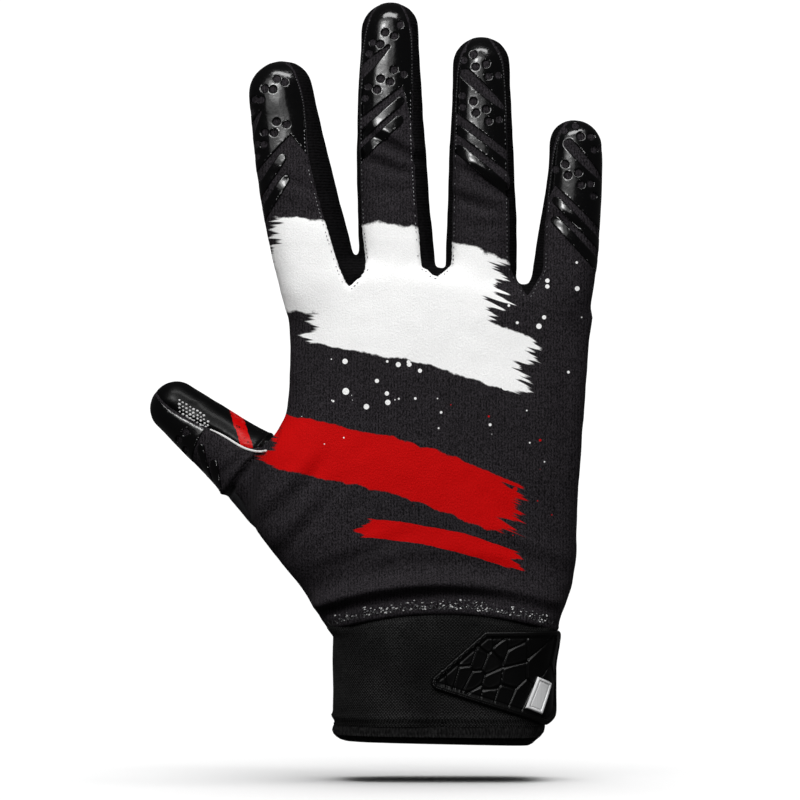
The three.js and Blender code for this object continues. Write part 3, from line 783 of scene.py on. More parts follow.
def backCloth():
    g = Graph("back_cloth")
    x, y, z = g.split(g.place)
    sway = g.noise(g.place, 320, 2)
    ribs = waves(g, g.math("MULTIPLY_ADD", sway, 0.0006, x), knit["ribPitch"])
    stitches = g.noise(g.mapping(g.place, size=(1, 1, 0.62)), knit["grain"], 2, 0.6)
    fuzz = g.noise(g.place, 2900, 2)
    cloudy = g.noise(g.place, 38, 3)
    loops = g.math("MULTIPLY_ADD", ribs, 0.22, g.math("MULTIPLY", g.step(stitches, 0.36, 0.66), 0.78))
    tone = g.math("MULTIPLY", loops, g.math("MULTIPLY_ADD", cloudy, 0.5, 0.75))
    ground = g.blend(tone, knit["ground"], knit["light"])
    plane = g.join(x, z, 0.0)
    ragged = g.noise(plane, 190, 4, 0.6)
    wobble = g.noise(plane, 42, 3, 0.55)

    def stroke(centre, turn, halfLong, halfWide, taper, seed):
        # a brush stroke: ragged long sides, and dry streaks towards its right end
        c, s = math.cos(math.radians(turn)), math.sin(math.radians(turn))
        dx = g.math("SUBTRACT", x, centre[0] * mm)
        dz = g.math("SUBTRACT", z, centre[1] * mm)
        u = g.math("ADD", g.math("MULTIPLY", dx, c), g.math("MULTIPLY", dz, s))
        v = g.math("SUBTRACT", g.math("MULTIPLY", dz, c), g.math("MULTIPLY", dx, s))
        share = g.math("DIVIDE", u, halfLong * mm)
        sag = g.math("MULTIPLY", g.math("MULTIPLY", share, share), taper * mm)
        v = g.math("ADD", v, sag)
        streaks = g.noise(g.join(g.math("MULTIPLY", u, 22.0), g.math("MULTIPLY", v, 420.0), seed), 1, 3, 0.6)
        wide = g.math("MULTIPLY_ADD", wobble, halfWide * 0.55 * mm, halfWide * 0.72 * mm)
        inner = g.math("DIVIDE", g.math("ABSOLUTE", v), wide)
        edge = g.math("MULTIPLY_ADD", ragged, 0.3, g.math("ADD", inner, -0.15))
        body = g.math("SUBTRACT", 1.0, g.step(edge, 0.97, 1.03))
        left = g.math("MULTIPLY_ADD", streaks, 0.5, share)
        right = g.math("MULTIPLY_ADD", streaks, -0.8, g.math("ADD", share, 0.4))
        ends = g.math("MULTIPLY", g.step(left, -0.78, -0.74), g.math("SUBTRACT", 1.0, g.step(right, 0.6, 0.64)))
        return g.math("MULTIPLY", body, ends)

    def spatter(centre, radius, scale, most, seed):
        place = g.mapping(plane, place=(seed, seed * 0.7, 0))
        dots = g.cells(place, scale)
        tint = g.nodes.new("ShaderNodeSeparateColor")
        g.put(tint.inputs[0], dots["Color"])
        size = g.math("POWER", tint.outputs[0], 3.0)
        dx = g.math("SUBTRACT", x, centre[0] * mm)
        dz = g.math("SUBTRACT", z, centre[1] * mm)
        away = g.math("SQRT", g.math("ADD", g.math("MULTIPLY", dx, dx), g.math("MULTIPLY", dz, dz)))
        fade = g.math("SUBTRACT", 1.0, g.step(away, radius * 0.3 * mm, radius * mm, "LINEAR"))
        limit = g.math("MULTIPLY", g.math("MULTIPLY", size, most), fade)
        return g.step(g.math("SUBTRACT", limit, dots["Distance"]), 0.0, 0.03)

    def over(a, b):
        return g.math("MAXIMUM", a, b)

    white = stroke((-10, 146), -13, 44, 15, 5, 1.3)
    white = over(white, stroke((2, 127), -16, 42, 9, 4, 4.1))
    white = over(white, spatter((16, 118), 38, 250, 0.42, 3.0))
    white = over(white, spatter((-22, 116), 30, 300, 0.36, 7.0))
    white = over(white, spatter((34, 140), 26, 330, 0.34, 11.0))
    red = stroke((-6, 85), -18, 48, 8.5, 4, 2.2)
    red = over(red, stroke((6, 64), -15, 30, 3.0, 3, 5.9))
    red = over(red, spatter((8, 84), 36, 260, 0.32, 5.0))
    front = g.math("SUBTRACT", 1.0, g.step(y, 0.001, 0.0016))
    white = g.math("MULTIPLY", white, front)
    red = g.math("MULTIPLY", red, front)
    inked = g.blend(red, ground, knit["red"])
    inked = g.blend(white, inked, knit["white"])
    worn = g.math("MULTIPLY_ADD", fuzz, 0.22, 0.89)
    colour = g.nodes.new("ShaderNodeMix")
    colour.data_type = "RGBA"
    colour.blend_type = "MULTIPLY"
    colour.inputs[0].default_value = 1
    g.put(colour.inputs[6], inked)
    g.put(colour.inputs[7], worn)
    rough = g.math("MULTIPLY_ADD", cloudy, 0.12, 0.66)
    relief = g.math("ADD", loops, g.math("MULTIPLY", fuzz, 0.35))
    return g.finish(
        colour.outputs[2], rough, g.bump(relief, 0.55, 0.00016),
        Sheen_Weight=0.008, Sheen_Roughness=0.4, Specular_IOR_Level=0.07,
    )


def stripCloth():
    g = Graph("strip_cloth")
    x, y, z = g.split(g.place)
    sway = g.noise(g.place, 300, 2)
    ribs = waves(g, g.math("MULTIPLY_ADD", sway, 0.0005, z), 0.00092)
    grain = g.noise(g.mapping(g.place, size=(0.5, 0.5, 1)), 2300, 2, 0.6)
    height = g.math("MULTIPLY_ADD", ribs, 0.45, g.math("MULTIPLY", g.step(grain, 0.3, 0.72), 0.55))
    colour = g.blend(height, (0.0001, 0.0001, 0.0001), (0.0058, 0.0054, 0.006))
    return g.finish(
        colour, 0.8, g.bump(height, 0.7, 0.0002), Sheen_Weight=0.003, Specular_IOR_Level=0.04,
    )


def gripSkin(name, dark, light, red=None):
    g = Graph(name)
    x, y, z = g.split(g.place)
    grain = g.cells(g.place, 1900, "SMOOTH_F1")["Distance"]
    soft = g.noise(g.place, 60, 3)
    rub = g.noise(g.place, 210, 4, 0.65)
    colour = g.blend(soft, dark, light)
    if red:
        # a slanted red patch: a painted reflection of red, broken up at its edges
        middle, lean, half = red
        ragged = g.noise(g.place, 420, 4, 0.6)
        slanted = g.math("MULTIPLY_ADD", z, lean, x)
        away = g.math("ABSOLUTE", g.math("SUBTRACT", slanted, middle * mm))
        edge = g.math("MULTIPLY_ADD", ragged, 0.0016, away)
        redReflection = g.math("SUBTRACT", 1.0, g.step(edge, half * mm, (half + 0.2) * mm))
        reflectionBreaks = g.step(g.noise(g.place, 700, 4, 0.7), 0.36, 0.42)
        colour = g.blend(g.math("MULTIPLY", redReflection, reflectionBreaks), colour, knit["red"])
    rough = g.math("MULTIPLY_ADD", rub, 0.24, 0.26)
    return g.finish(
        colour, rough, g.bump(grain, 0.35, 0.00008, g.bump(soft, 0.3, 0.0005)),
        Coat_Weight=0.05, Coat_Roughness=0.16, Specular_IOR_Level=0.1,
    )


def siliconePrint():
    g = Graph("silicone_print")
    soft = g.noise(g.place, 200, 3)
    weave = g.noise(g.place, 1300, 2)
    dust = g.noise(g.place, 1900, 4, 0.7)
    rough = g.math("MULTIPLY_ADD", g.step(dust, 0.45, 0.8), 0.12, 0.17)
    colour = g.blend(dust, (0.0006, 0.0006, 0.0007), (0.0018, 0.0018, 0.002))
    height = g.math("MULTIPLY_ADD", weave, 0.1, soft)
    return g.finish(
        colour, rough, g.bump(height, 0.5, 0.0005), Coat_Weight=0.6, Coat_Roughness=0.1,
        IOR=1.4,
    )


def bandCloth():
    g = Graph("band_cloth")
    x, y, z = g.split(g.place)
    around = g.math("ADD", g.math("ABSOLUTE", x), y)
    sway = g.math("MULTIPLY", g.noise(g.place, 400, 2), 0.0003)
    first = waves(g, g.math("ADD", g.math("ADD", around, z), sway), 0.00102)
    second = waves(g, g.math("SUBTRACT", around, z), 0.00102)
    weave = g.math("POWER", g.math("MULTIPLY", first, second), 2.1)
    fuzz = g.step(g.noise(g.place, 2600, 2), 0.3, 0.75)
    cloudy = g.noise(g.place, 45, 3)
    dots = g.math("MULTIPLY_ADD", fuzz, 0.3, g.math("MULTIPLY", weave, 0.9))
    tone = g.math("MULTIPLY", dots, g.math("MULTIPLY_ADD", g.step(cloudy, 0.3, 0.7), 0.8, 0.4))
    colour = g.blend(tone, (0.0001, 0.0001, 0.0001), (0.06, 0.06, 0.06))
    return g.finish(
        colour, 0.8, g.bump(dots, 0.9, 0.00026), Sheen_Weight=0.006, Specular_IOR_Level=0.06,
    )


def hemCloth():
    g = Graph("hem_cloth")
    x, y, z = g.split(g.place)
    ribs = waves(g, g.math("ADD", g.math("ABSOLUTE", x), y), 0.00105)
    hairs = g.step(g.noise(g.mapping(g.place, size=(1, 1, 0.3)), 1700, 4, 0.7), 0.35, 0.75)
    height = g.math("MULTIPLY_ADD", ribs, 0.35, hairs)
    colour = g.blend(g.math("MULTIPLY", height, 0.74), (0.0002, 0.0002, 0.0002), (0.024, 0.0235, 0.024))
    return g.finish(
        colour, 0.85, g.bump(height, 0.9, 0.0003), Sheen_Weight=0.008, Specular_IOR_Level=0.05,
    )


def tabRubber():
    g = Graph("tab_rubber")
    grain = g.noise(g.place, 1600, 3, 0.6)
    soft = g.noise(g.place, 90, 3)
    colour = g.blend(soft, (0.0008, 0.0008, 0.0009), (0.0022, 0.0022, 0.0022))
    rough = g.math("MULTIPLY_ADD", soft, 0.12, 0.26)
    return g.finish(colour, rough, g.bump(grain, 0.2, 0.00006), Specular_IOR_Level=0.24)


def badgeMetal():
    g = Graph("badge_plate")
    brushed = g.noise(g.mapping(g.place, turn=(0, 0.45, 0), size=(1, 1, 0.06)), 2600, 3)
    colour = g.blend(brushed, (0.6, 0.605, 0.61), (0.84, 0.84, 0.845))
    rough = g.math("MULTIPLY_ADD", brushed, 0.15, 0.26)
    return g.finish(colour, rough, g.bump(brushed, 0.2, 0.00005), Metallic=0.08)


def threadMaterial(name, colour, sheen=0.05):
    g = Graph(name)
    x, y, z = g.split(g.place)
    twist = waves(g, g.math("ADD", x, z), 0.00045)
    hue = g.blend(twist, tuple(c * 0.6 for c in colour), colour)
    return g.finish(hue, 0.45, g.bump(twist, 0.4, 0.00006), Sheen_Weight=sheen)


backMaterial = backCloth()
stripMaterial = stripCloth()
# the palm's grip is coloured much lighter than the thumb's grip of the same skin: painted light, so that the
# dimly lit palm side shows its detail
palmGripPaintedLight = gripSkin("grip_skin", (0.011, 0.011, 0.012), (0.03, 0.03, 0.032))
# the thumb's grip carries the painted red reflection, placed by the last tuple
thumbGripMaterial = gripSkin(
    "thumb_grip_skin", (0.0006, 0.0006, 0.0007), (0.0022, 0.0022, 0.0024), (-28.3, 0.35, 2.5),
)
siliconeMaterial = siliconePrint()
bandMaterial = bandCloth()
hemMaterial = hemCloth()
rubberMaterial = tabRubber()
badgeMaterial = badgeMetal()
# the pale and near-white threads are partly the threads' own colour and partly painted glint, the light that
# small stitches catch
darkThread = threadMaterial("dark_thread", (0.06, 0.06, 0.062))
paleThreadAndGlint = threadMaterial("pale_thread_and_glint", (0.3, 0.3, 0.31))
speckThreadAndGlint = threadMaterial("speck_thread_and_glint", (0.72, 0.72, 0.72))
faintThread = threadMaterial("faint_thread", (0.13, 0.13, 0.135))
whitePiping = threadMaterial("white_piping", (0.86, 0.86, 0.85))
print("materials ready")

# ---------------------------------------------------------------- the cloth panels

layers = skin.verts.layers.float
thumbLayer, seamLayer, sideLayer = layers["thumb"], layers["thumbSeam"], layers["side"]
stripLayers = [layers[f"strip{i}"] for i in range(3)]


def panelOf(face):
    if faceValue(face, thumbLayer) > 0:
        return "thumb_palm" if faceValue(face, seamLayer) > 0 else "thumb_back"
    if faceValue(face, sideLayer) > 0:
        return "palm_panel"
    for (left, right, _), layer in zip(stripTurns, stripLayers):
        if faceValue(face, layer) > 0:
            return f"gusset_{left}_{right}"
    return "back_panel"


panels = {
    "back_panel": ("back_cloth", backMaterial),
    "palm_panel": ("palm_grip", palmGripPaintedLight),
    "gusset_index_middle": ("side_cloth", stripMaterial),
    "gusset_middle_ring": ("side_cloth", stripMaterial),
    "gusset_ring_little": ("side_cloth", stripMaterial),
    "thumb_back": ("back_cloth", backMaterial),
    "thumb_palm": ("palm_grip", thumbGripMaterial),
}
owner = skin.faces.layers.int.new("owner")
panelNames = list(panels)
for face in skin.faces:
    face[owner] = panelNames.index(panelOf(face))
for number, (name, (slot, material)) in enumerate(panels.items()):
    mark = number
    part = skin.copy()
    keep = part.faces.layers.int["owner"]
    drop = [f for f in part.faces if f[keep] != mark]
    bmesh.ops.delete(part, geom=drop, context="FACES")
    piece = finished(f"{name}_cloth", part, [name], material=material)
    thicken(piece, hand["cloth"])
    print(name, len(piece.data.polygons))

# ------------------------------------------------------------- fingertip grip prints

gripPrint = {
    "height": 0.5,
    "lift": 0.06,
    "edge": 0.42,
    "fade": 5.2,
    "holeRadius": 1.1,
    # q runs across the finger towards the side where the bars fall, d from the tip;
    # inner is the slope of the print's edge on the other side of its peak
    "index": {
        "slant": -1, "peak": (-0.85, 23.8), "slope": 36, "inner": 1.85,
        "bars": [(3.4, 28.6, 45, 3.0), (3.6, 35.4, 46, 3.0)],
        "slots": [(7.0, 14.8, 52, 2.5, 14, False)],
        "holes": [
            (-1.9, 7.2), (2.1, 8.7), (6.3, 11.1), (9.8, 14.2), (0.4, 5.7), (4.6, 7.9), (8.2, 10.5),
            (-0.2, 20.4), (4.1, 22.2), (7.8, 25.1), (10.7, 28.2), (2.7, 19.0), (6.9, 21.5), (10, 24.4),
        ],
    },
    "middle": {
        "slant": -1, "peak": (-4.1, 26.9), "slope": 37, "inner": 4.2,
        "bars": [(-3.3, 29.8, 40, 2.9), (-2.7, 35.7, 41, 3.2)],
        "slots": [(0.2, 14.3, 43, 3.2, 16, False)],
        "holes": [
            (-3.3, 7.5), (1.3, 9.8), (5.1, 12.8), (-1.6, 11), (2.8, 13.5), (6.2, 16.2), (8.8, 15.4),
            (-1.5, 21.7), (2.6, 24.5), (6.5, 26.8), (-4.6, 23.2), (-0.3, 25.5), (3.8, 27.9), (7.5, 30.3),
        ],
    },
    "ring": {
        "slant": 1, "peak": (-8.1, 24.1), "slope": 37, "inner": 3,
        "bars": [(-7.5, 27.5, 37, 2.9), (-6.9, 33.8, 40, 3.3)],
        "slots": [(-5.0, 12.0, 42, 3.3, 16.5, True)],
        "holes": [
            (-5.8, 4.1), (-2.6, 5.8), (1.4, 8.8), (5.2, 12.3), (-5.5, 7.5), (-1.9, 9.7), (2.1, 12.6),
            (-6, 18.8), (-2.6, 20.7), (1.4, 23.2), (5.4, 26.3), (-5.9, 22.4), (-1.8, 24.3), (2.2, 26.9),
        ],
    },
    "little": {
        "slant": 1, "peak": (-5.8, 21.2), "slope": 39, "inner": 2.4,
        "bars": [(-5.0, 24.2, 40, 2.7), (-4.6, 30.2, 41, 3.0)],
        "slots": [(-2.4, 7.8, 43, 3.1, 15, True)],
        "holes": [
            (-0.5, 1.9), (4.4, 4.9), (7.6, 8.1), (-4, 3.7), (1.2, 5.1), (5.5, 8.8), (-3.2, 14.3),
            (1.1, 16.5), (5, 19.6), (-6, 16.1), (-2.1, 17.7), (2.2, 20.2), (6.2, 23.3),
        ],
    },
}


def barField(q, d, startQ, startD, turn, thick):
    # a slanted bar that runs out over the finger's side, with a round near end
    a = math.radians(turn)
    half = thick / 2
    u = (q - startQ) * math.cos(a) + (d - startD) * math.sin(a) - half
    v = (d - startD) * math.cos(a) - (q - startQ) * math.sin(a) - half
    return half - np.hypot(np.minimum(u, 0) * 0.8, v)


def slotField(q, d, startQ, startD, turn, thick, long, far):
    # a leaf: round at its near end, and pointed at the far one where far is set
    a = math.radians(turn)
    u = (q - startQ) * math.cos(a) + (d - startD) * math.sin(a)
    v = (d - startD) * math.cos(a) - (q - startQ) * math.sin(a)
    share = np.clip(u / long, 0, 1)
    body = np.sqrt(np.maximum(0, 1 - share ** 2.2)) if far else np.minimum(1, 0.25 + 1.6 * share)
    half = thick / 2 * body
    return half - np.hypot(np.minimum(u, 0) + np.maximum(u - long, 0), v)


def printField(name, points):
    f, design = fingers[name], gripPrint[name]
    root, along, side = fingerAxes(f)
    rel = points - np.array(root)
    distance = rel @ np.array(along)
    across = rel @ np.array(side) - fingerBow(f, distance)
    d = f["long"] - distance
    slant = design["slant"]
    q = across * slant
    field = 60 - d
    margin = 0.55
    for key, sign in (("left", -1), ("right", 1)):
        if key in f:
            limit = np.array([curve(f[key], t) for t in d])
            field = np.minimum(field, (limit - across) * sign - margin)
    field = np.minimum(field, hand["sideSeam"] - 0.9 - points[:, 1])
    edges = field
    peakQ, peakD = design["peak"]
    slope = math.radians(design["slope"])
    low = (peakD - d) * math.cos(slope) + (q - peakQ) * math.sin(slope)
    inner = math.atan(design["inner"])
    low = np.where(
        q < peakQ, (peakD - d) * math.cos(inner) + (peakQ - q) * math.sin(inner), low,
    )
    cap = np.minimum(edges, low)
    for slot in design["slots"]:
        cap = np.minimum(cap, -slotField(q, d, *slot))
    for holeQ, holeD in design["holes"]:
        cap = np.minimum(cap, np.hypot(q - holeQ, d - holeD) - gripPrint["holeRadius"])
    total = cap
    for startQ, startD, turn, thick in design["bars"]:
        total = np.maximum(total, np.minimum(edges, barField(q, d, startQ, startD, turn, thick)))
    return total, edges


def thumbPrintField(points):
    root, along, up, deep, reach = thumbAxes()
    rel = points - np.array(root)
    distance = rel @ np.array(along)
    rise = rel @ np.array(up)
    back = rel @ np.array(deep)
    share = distance / reach
    broad = mix(thumb["rootBroad"], thumb["tipBroad"], np.clip(share, 0, 1)) / 2
    seam = np.array([curve(thumb["seam"], s) for s in share])
    under = -(rise + seam * np.clip(back / broad, -1, 1)) - 0.8
    under = np.minimum(under, 4.5 - back)
    cap = np.minimum(under, distance - 60.5 - (rise + 5) * 0.15)
    for a, r in ((65.6, -3.9), (66.4, -6.9), (62.9, -8.3)):
        cap = np.minimum(cap, np.hypot(distance - a, rise - r) - gripPrint["holeRadius"])
    total = cap
    for start, top, turn, thick in ((58.6, -3.2, 222, 2.3), (51.9, -4.4, 226, 2.8)):
        bar = barField(distance, rise, start, top, turn, thick)
        total = np.maximum(total, np.minimum(under, bar))
    return total, under


def gripPiece(field, reachOf, node):
    part = partOf(skin, reachOf)
    bmesh.ops.triangulate(part, faces=part.faces)
    bmesh.ops.subdivide_edges(part, edges=part.edges, cuts=1, use_grid_fill=True)
    bmesh.ops.triangulate(part, faces=part.faces)
    border = {v for e in part.edges if e.is_boundary for v in e.verts}
    inside = [v for v in part.verts if v not in border]
    for _ in range(5):
        bmesh.ops.smooth_vert(
            part, verts=inside, factor=0.5, use_axis_x=True, use_axis_y=True, use_axis_z=True,
        )
    inner, outer = field(coordsOf(part))
    setField(part, "print", inner)
    setField(part, "border", outer)
    part.normal_update()
    ways = np.array([v.normal for v in part.verts])
    for i, name in enumerate(("wayX", "wayY", "wayZ")):
        setField(part, name, ways[:, i])
    for level in (0.0, gripPrint["edge"] * 0.16, gripPrint["edge"] * 0.45, gripPrint["edge"]):
        cutWhere(part, "print", level, 0.02)
    layer = part.verts.layers.float["print"]
    border = part.verts.layers.float["border"]
    drop = [f for f in part.faces if faceValue(f, layer) < 0]
    bmesh.ops.delete(part, geom=drop, context="FACES")
    wayLayers = [part.verts.layers.float[name] for name in ("wayX", "wayY", "wayZ")]
    for v in part.verts:
        out = Vector([v[way] for way in wayLayers]).normalized()
        share = min(1.0, max(0.0, v[layer] / gripPrint["edge"]))
        rise = math.sqrt(1 - (1 - share) ** 2) * gripPrint["height"]
        rise *= 0.12 + 0.88 * smooth(v[border] / gripPrint["fade"])
        rise *= 0.08 + 0.92 * smooth((-out.y - 0.05) / 0.5)
        v.co += out * (gripPrint["lift"] + rise)
    piece = finished(f"{node}_silicone", part, [node], material=siliconeMaterial)
    thicken(piece, 0.5)
    print(node, len(piece.data.polygons))


def nearFinger(name):
    f = fingers[name]
    root, along, side = fingerAxes(f)
    limit = 58 if name != "little" else 50

    def test(face):
        middle = face.calc_center_median()
        if middle.y > hand["sideSeam"] + 1 or middle.z < rootZ + 2:
            return False
        rel = middle - root
        if f["long"] - rel.dot(along) > limit:
            return False
        return abs(rel.dot(side)) < f["wide"] / 2 + 4

    return test


for name in fingers:
    gripPiece(lambda points, name=name: printField(name, points), nearFinger(name), f"grip_print_{name}")


def nearThumb(face):
    middle = face.calc_center_median()
    return middle.x < -64 and middle.z > 80


gripPiece(thumbPrintField, nearThumb, "grip_print_thumb")

# --------------------------------------------------------------------------- cuff

cuff = {
    # how far the little-finger corner is tucked in, by height
    "tuck": [
        (0.6, 5.0), (1.1, 4.4), (2, 3.7), (3.2, 2.9), (4.6, 2.2), (6, 1.7), (7.6, 1.0), (9.6, 0.4),
        (12, 0),
    ],
    "flareZ": 34.5,
    "flare": 0.75,  # the band widens above this height to meet the hand's edge
    "hemHigh": 7.4,
    "hemTilt": 1.6,
    "segments": 200,
    "bandWall": 2.0,
    "ridgeZ": 9.6,  # stitched ridge over the hem
}


def cuffPoint(turn, out=0.0):
    # a point of the cuff's section, and its outward direction
    power = 2 / hand["wristSquare"]
    c, s = math.cos(turn), math.sin(turn)
    halfWide = hand["wristWide"] / 2
    halfDeep = hand["wristDeep"] / 2
    x = math.copysign(abs(c) ** power, c) * halfWide
    y = math.copysign(abs(s) ** power, s) * halfDeep
    n = hand["wristSquare"]
    grad = Vector((
        math.copysign(abs(x / halfWide) ** (n - 1), x) / halfWide,
        math.copysign(abs(y / halfDeep) ** (n - 1), y) / halfDeep, 0,
    )).normalized()
    return Vector((x, y, 0)) + grad * out


cuffTurns = []
walk, last = [0.0], cuffPoint(0)
fineTurns = [2 * math.pi * i / 3600 for i in range(3601)]
for turn in fineTurns[1:]:
    point = cuffPoint(turn)
    walk.append(walk[-1] + (point - last).length)
    last = point
cuffGirth = walk[-1]


def cuffAt(arc, out=0.0):
    # the same point by its distance round the cuff from the little-finger side
    arc = arc % cuffGirth
    turn = float(np.interp(arc, walk, fineTurns))
    return cuffPoint(turn, out)


def cuffRing(bm, heightAt, outAt, segments=None):
    count = segments or cuff["segments"]
    made = bmesh.ops.create_circle(bm, cap_ends=False, segments=count, radius=1)
    verts = made["verts"]
    for i, v in enumerate(sorted(verts, key=lambda v: math.atan2(v.co.y, v.co.x) % (2 * math.pi))):
        arc = cuffGirth * i / count
        base = cuffAt(arc)
        z = heightAt(base.x)
        v.co = cuffAt(arc, outAt(arc, z, base))
        v.co.z = z
    return list({e for v in verts for e in v.link_edges})


print("building the cuff")
band = bmesh.new()


def bandOut(arc, z, base):
    ripple = 0.25 * noise.noise(Vector((base.x * 0.07, base.y * 0.07, z * 0.09)))
    ridge = 0.5 * math.exp(-((z - cuff["ridgeZ"]) / 0.65) ** 2)
    dip = -0.55 * math.exp(-((z - cuff["ridgeZ"] + 1.9) / 0.8) ** 2)
    beside = smooth((abs(base.x) - 27) / 6)
    top = -1.5 * smooth((z - wristSeamAt(base.x) + 1.6) / 2.6) * (1 - beside)
    flare = cuff["flare"] * min(2.6, max(0, z - cuff["flareZ"])) * beside
    return ripple + ridge + dip + top + flare - 0.1


def tuckCorner(ring, most=9):
    for v in {v for e in ring for v in e.verts}:
        v.co.x -= min(most, curve(cuff["tuck"], v.co.z)) * smooth((v.co.x / 34.3 - 0.45) / 0.55)


rings = []
bandSteps = 46
for i in range(bandSteps + 1):
    share = i / bandSteps
    rings.append(cuffRing(
        band, lambda x, share=share: mix(cuff["hemHigh"] - 0.4, wristSeamAt(x) + 1.8, share), bandOut,
    ))
    tuckCorner(rings[-1])
loftRings(band, rings, closed=False)
bmesh.ops.recalc_face_normals(band, faces=band.faces)
bandPiece = finished("cuff_band_cloth", band, ["cuff_band"], material=bandMaterial)
thicken(bandPiece, cuff["bandWall"])

hem = bmesh.new()
hemRows = [
    # up and out, in mm
    (7.6, -1.5), (7.0, -0.8), (6.0, -0.25), (4.6, -0.05), (3.2, -0.45), (2.0, -1.3), (1.1, -2.4),
    (0.6, -3.6), (0.6, -4.5), (1.5, -5.0), (4, -5.1), (7.2, -4.9), (8.4, -4.2), (8.4, -2.6),
]


def hemOut(out):
    def value(arc, z, base):
        soft = 0.3 * noise.noise(Vector((base.x * 0.12, base.y * 0.12, z * 0.2)))
        fine = 0.12 * noise.noise(Vector((base.x * 0.6, base.y * 0.6, z * 0.25)))
        return out + soft + fine
    return value


rings = []
for upMm, out in hemRows:
    ring = cuffRing(
        hem,
        lambda x, up=upMm: up + cuff["hemTilt"] * max(0, 1 - up / 7.4) * (0.5 - x / hand["wristWide"]),
        hemOut(out),
    )
    tuckCorner(ring, 3.6)
    rings.append(ring)
loftRings(hem, rings, closed=False)
bmesh.ops.bridge_loops(hem, edges=rings[-1] + rings[0])
bmesh.ops.recalc_face_normals(hem, faces=hem.faces)
finished("cuff_hem_cloth", hem, ["cuff_hem"], material=hemMaterial)

# ------------------------------------------------------------------ closure tab

quarter = float(np.interp(math.pi * 1.5, fineTurns, walk))  # arc at the middle of the back
tab = {
    "z": (7.0, 37.0),
    "thick": 1.5,
    "rim": 0.8,
    "rimWide": 1.5,
    # outline as (x, z) on the unrolled back, from the left tip round
    "outline": [
        (-3.5, 20.4), (-3.2, 22.3), (13.2, 36.7), (38.5, 36.7), (42.5, 35.6), (46.8, 33.8),
        (46.8, 14.5), (43.5, 11.5), (38.5, 9.2), (33.5, 7.2), (-2.6, 18.9),
    ],
    "stand": 1.35,  # its top corner stands off the wrist
    "cellSeeds": [
        (-0.5, 20.6), (2.8, 23), (6.4, 23), (10, 20.6), (15.1, 20.6), (7.7, 28.8), (11.8, 28.4),
        (15.5, 27.4), (14.2, 32.9), (17.9, 31.2), (17.4, 35.2), (23.0, 34.2), (21.6, 22.6),
        (31.0, 27.4), (22.8, 29.8), (33.0, 18.6), (19.2, 16.5), (23.6, 14.6), (14.2, 16.9),
        (29.6, 34.6), (27.0, 12.4), (10, 16.8), (40.5, 30.5),
    ],
    "stretch": (0.58, 1.0, 66),  # cells lean and are longer that way
    "grid": 0.22,
    "groove": (0.3, 0.5),  # half width and depth between the cells
}


def standOff(x, z):
    return tab["stand"] * smooth((x - 20) / 18) * smooth((z - 24) / 11)


def cellField(points):
    # the distance to the nearest groove between the scales, and which scale
    turn = math.radians(tab["stretch"][2])
    spin = np.array([[math.cos(turn), -math.sin(turn)], [math.sin(turn), math.cos(turn)]])
    size = np.array(tab["stretch"][:2])
    seeds = (np.array(tab["cellSeeds"]) @ spin) * size
    places = (points @ spin) * size
    away = np.linalg.norm(places[:, None, :] - seeds[None, :, :], axis=2)
    order = np.sort(away, axis=1)
    which = np.argmin(away, axis=1)
    return order[:, 1] - order[:, 0], which, away.min(axis=1)


def tabPiece():
    bm = bmesh.new()
    wide, high = 52.0, tab["z"][1] - tab["z"][0] + 2
    bmesh.ops.create_grid(bm, x_segments=int(wide / tab["grid"]), y_segments=int(high / tab["grid"]), size=0.5)
    bmesh.ops.scale(bm, vec=(wide, high, 1), verts=bm.verts)
    bmesh.ops.translate(bm, vec=(wide / 2 - 4.5, (tab["z"][0] + tab["z"][1]) / 2, 0), verts=bm.verts)
    bmesh.ops.triangulate(bm, faces=bm.faces)
    points = coordsOf(bm)[:, :2]
    field = outlineField(points, tab["outline"])
    setField(bm, "tab", field)
    for level in (0.0, 0.25, 0.6, tab["rimWide"] - 0.2, tab["rimWide"] + 0.2):
        cutWhere(bm, "tab", level, 0.03)
    layer = bm.verts.layers.float["tab"]
    bmesh.ops.delete(bm, geom=[f for f in bm.faces if faceValue(f, layer) < 0], context="FACES")
    points = coordsOf(bm)[:, :2]
    gap, which, near = cellField(points)
    random.seed(11)
    tilts = [(random.uniform(-0.07, -0.02), random.uniform(0, 0.03)) for _ in tab["cellSeeds"]]
    for i, v in enumerate(bm.verts):
        inside = v[layer]
        rim = 1 - smooth((inside - tab["rimWide"] + 0.2) / 0.4)
        edge = math.sqrt(max(0.0, 1 - (1 - min(1, inside / 0.6)) ** 2))
        groove = math.exp(-(gap[i] / tab["groove"][0]) ** 2)
        seed = tab["cellSeeds"][which[i]]
        tilt = tilts[which[i]]
        slope = (points[i][0] - seed[0]) * tilt[0] + (points[i][1] - seed[1]) * tilt[1]
        lip = 0.09 * math.exp(-((gap[i] - 0.8) / 0.3) ** 2)
        floor = 0.22 + slope + lip - tab["groove"][1] * groove
        line = 0.22 * math.exp(-((inside - tab["rimWide"] - 0.75) / 0.22) ** 2)
        out = mix(floor - line, tab["rim"], rim) + tab["thick"] - 0.55
        out = mix(0.35, out, edge)
        x, z = v.co.x, v.co.y
        out += standOff(x, z)
        v.co = cuffAt(quarter + x, out)
        v.co.z = z
    bmesh.ops.recalc_face_normals(bm, faces=bm.faces)
    bm.normal_update()
    outward = sum(f.normal.dot(Vector((f.calc_center_median().x, f.calc_center_median().y, 0))) for f in bm.faces)
    if outward < 0:
        bmesh.ops.reverse_faces(bm, faces=bm.faces)
    piece = finished("closure_tab_rubber", bm, ["closure_tab"], material=rubberMaterial)
    thicken(piece, 0.9)
    return piece


print("building the closure")
tabPiece()

badge = {"wide": 5.8, "high": 10.4, "turn": 22, "x": 30.2, "z": 16.6, "thick": 0.8, "rim": 0.14}


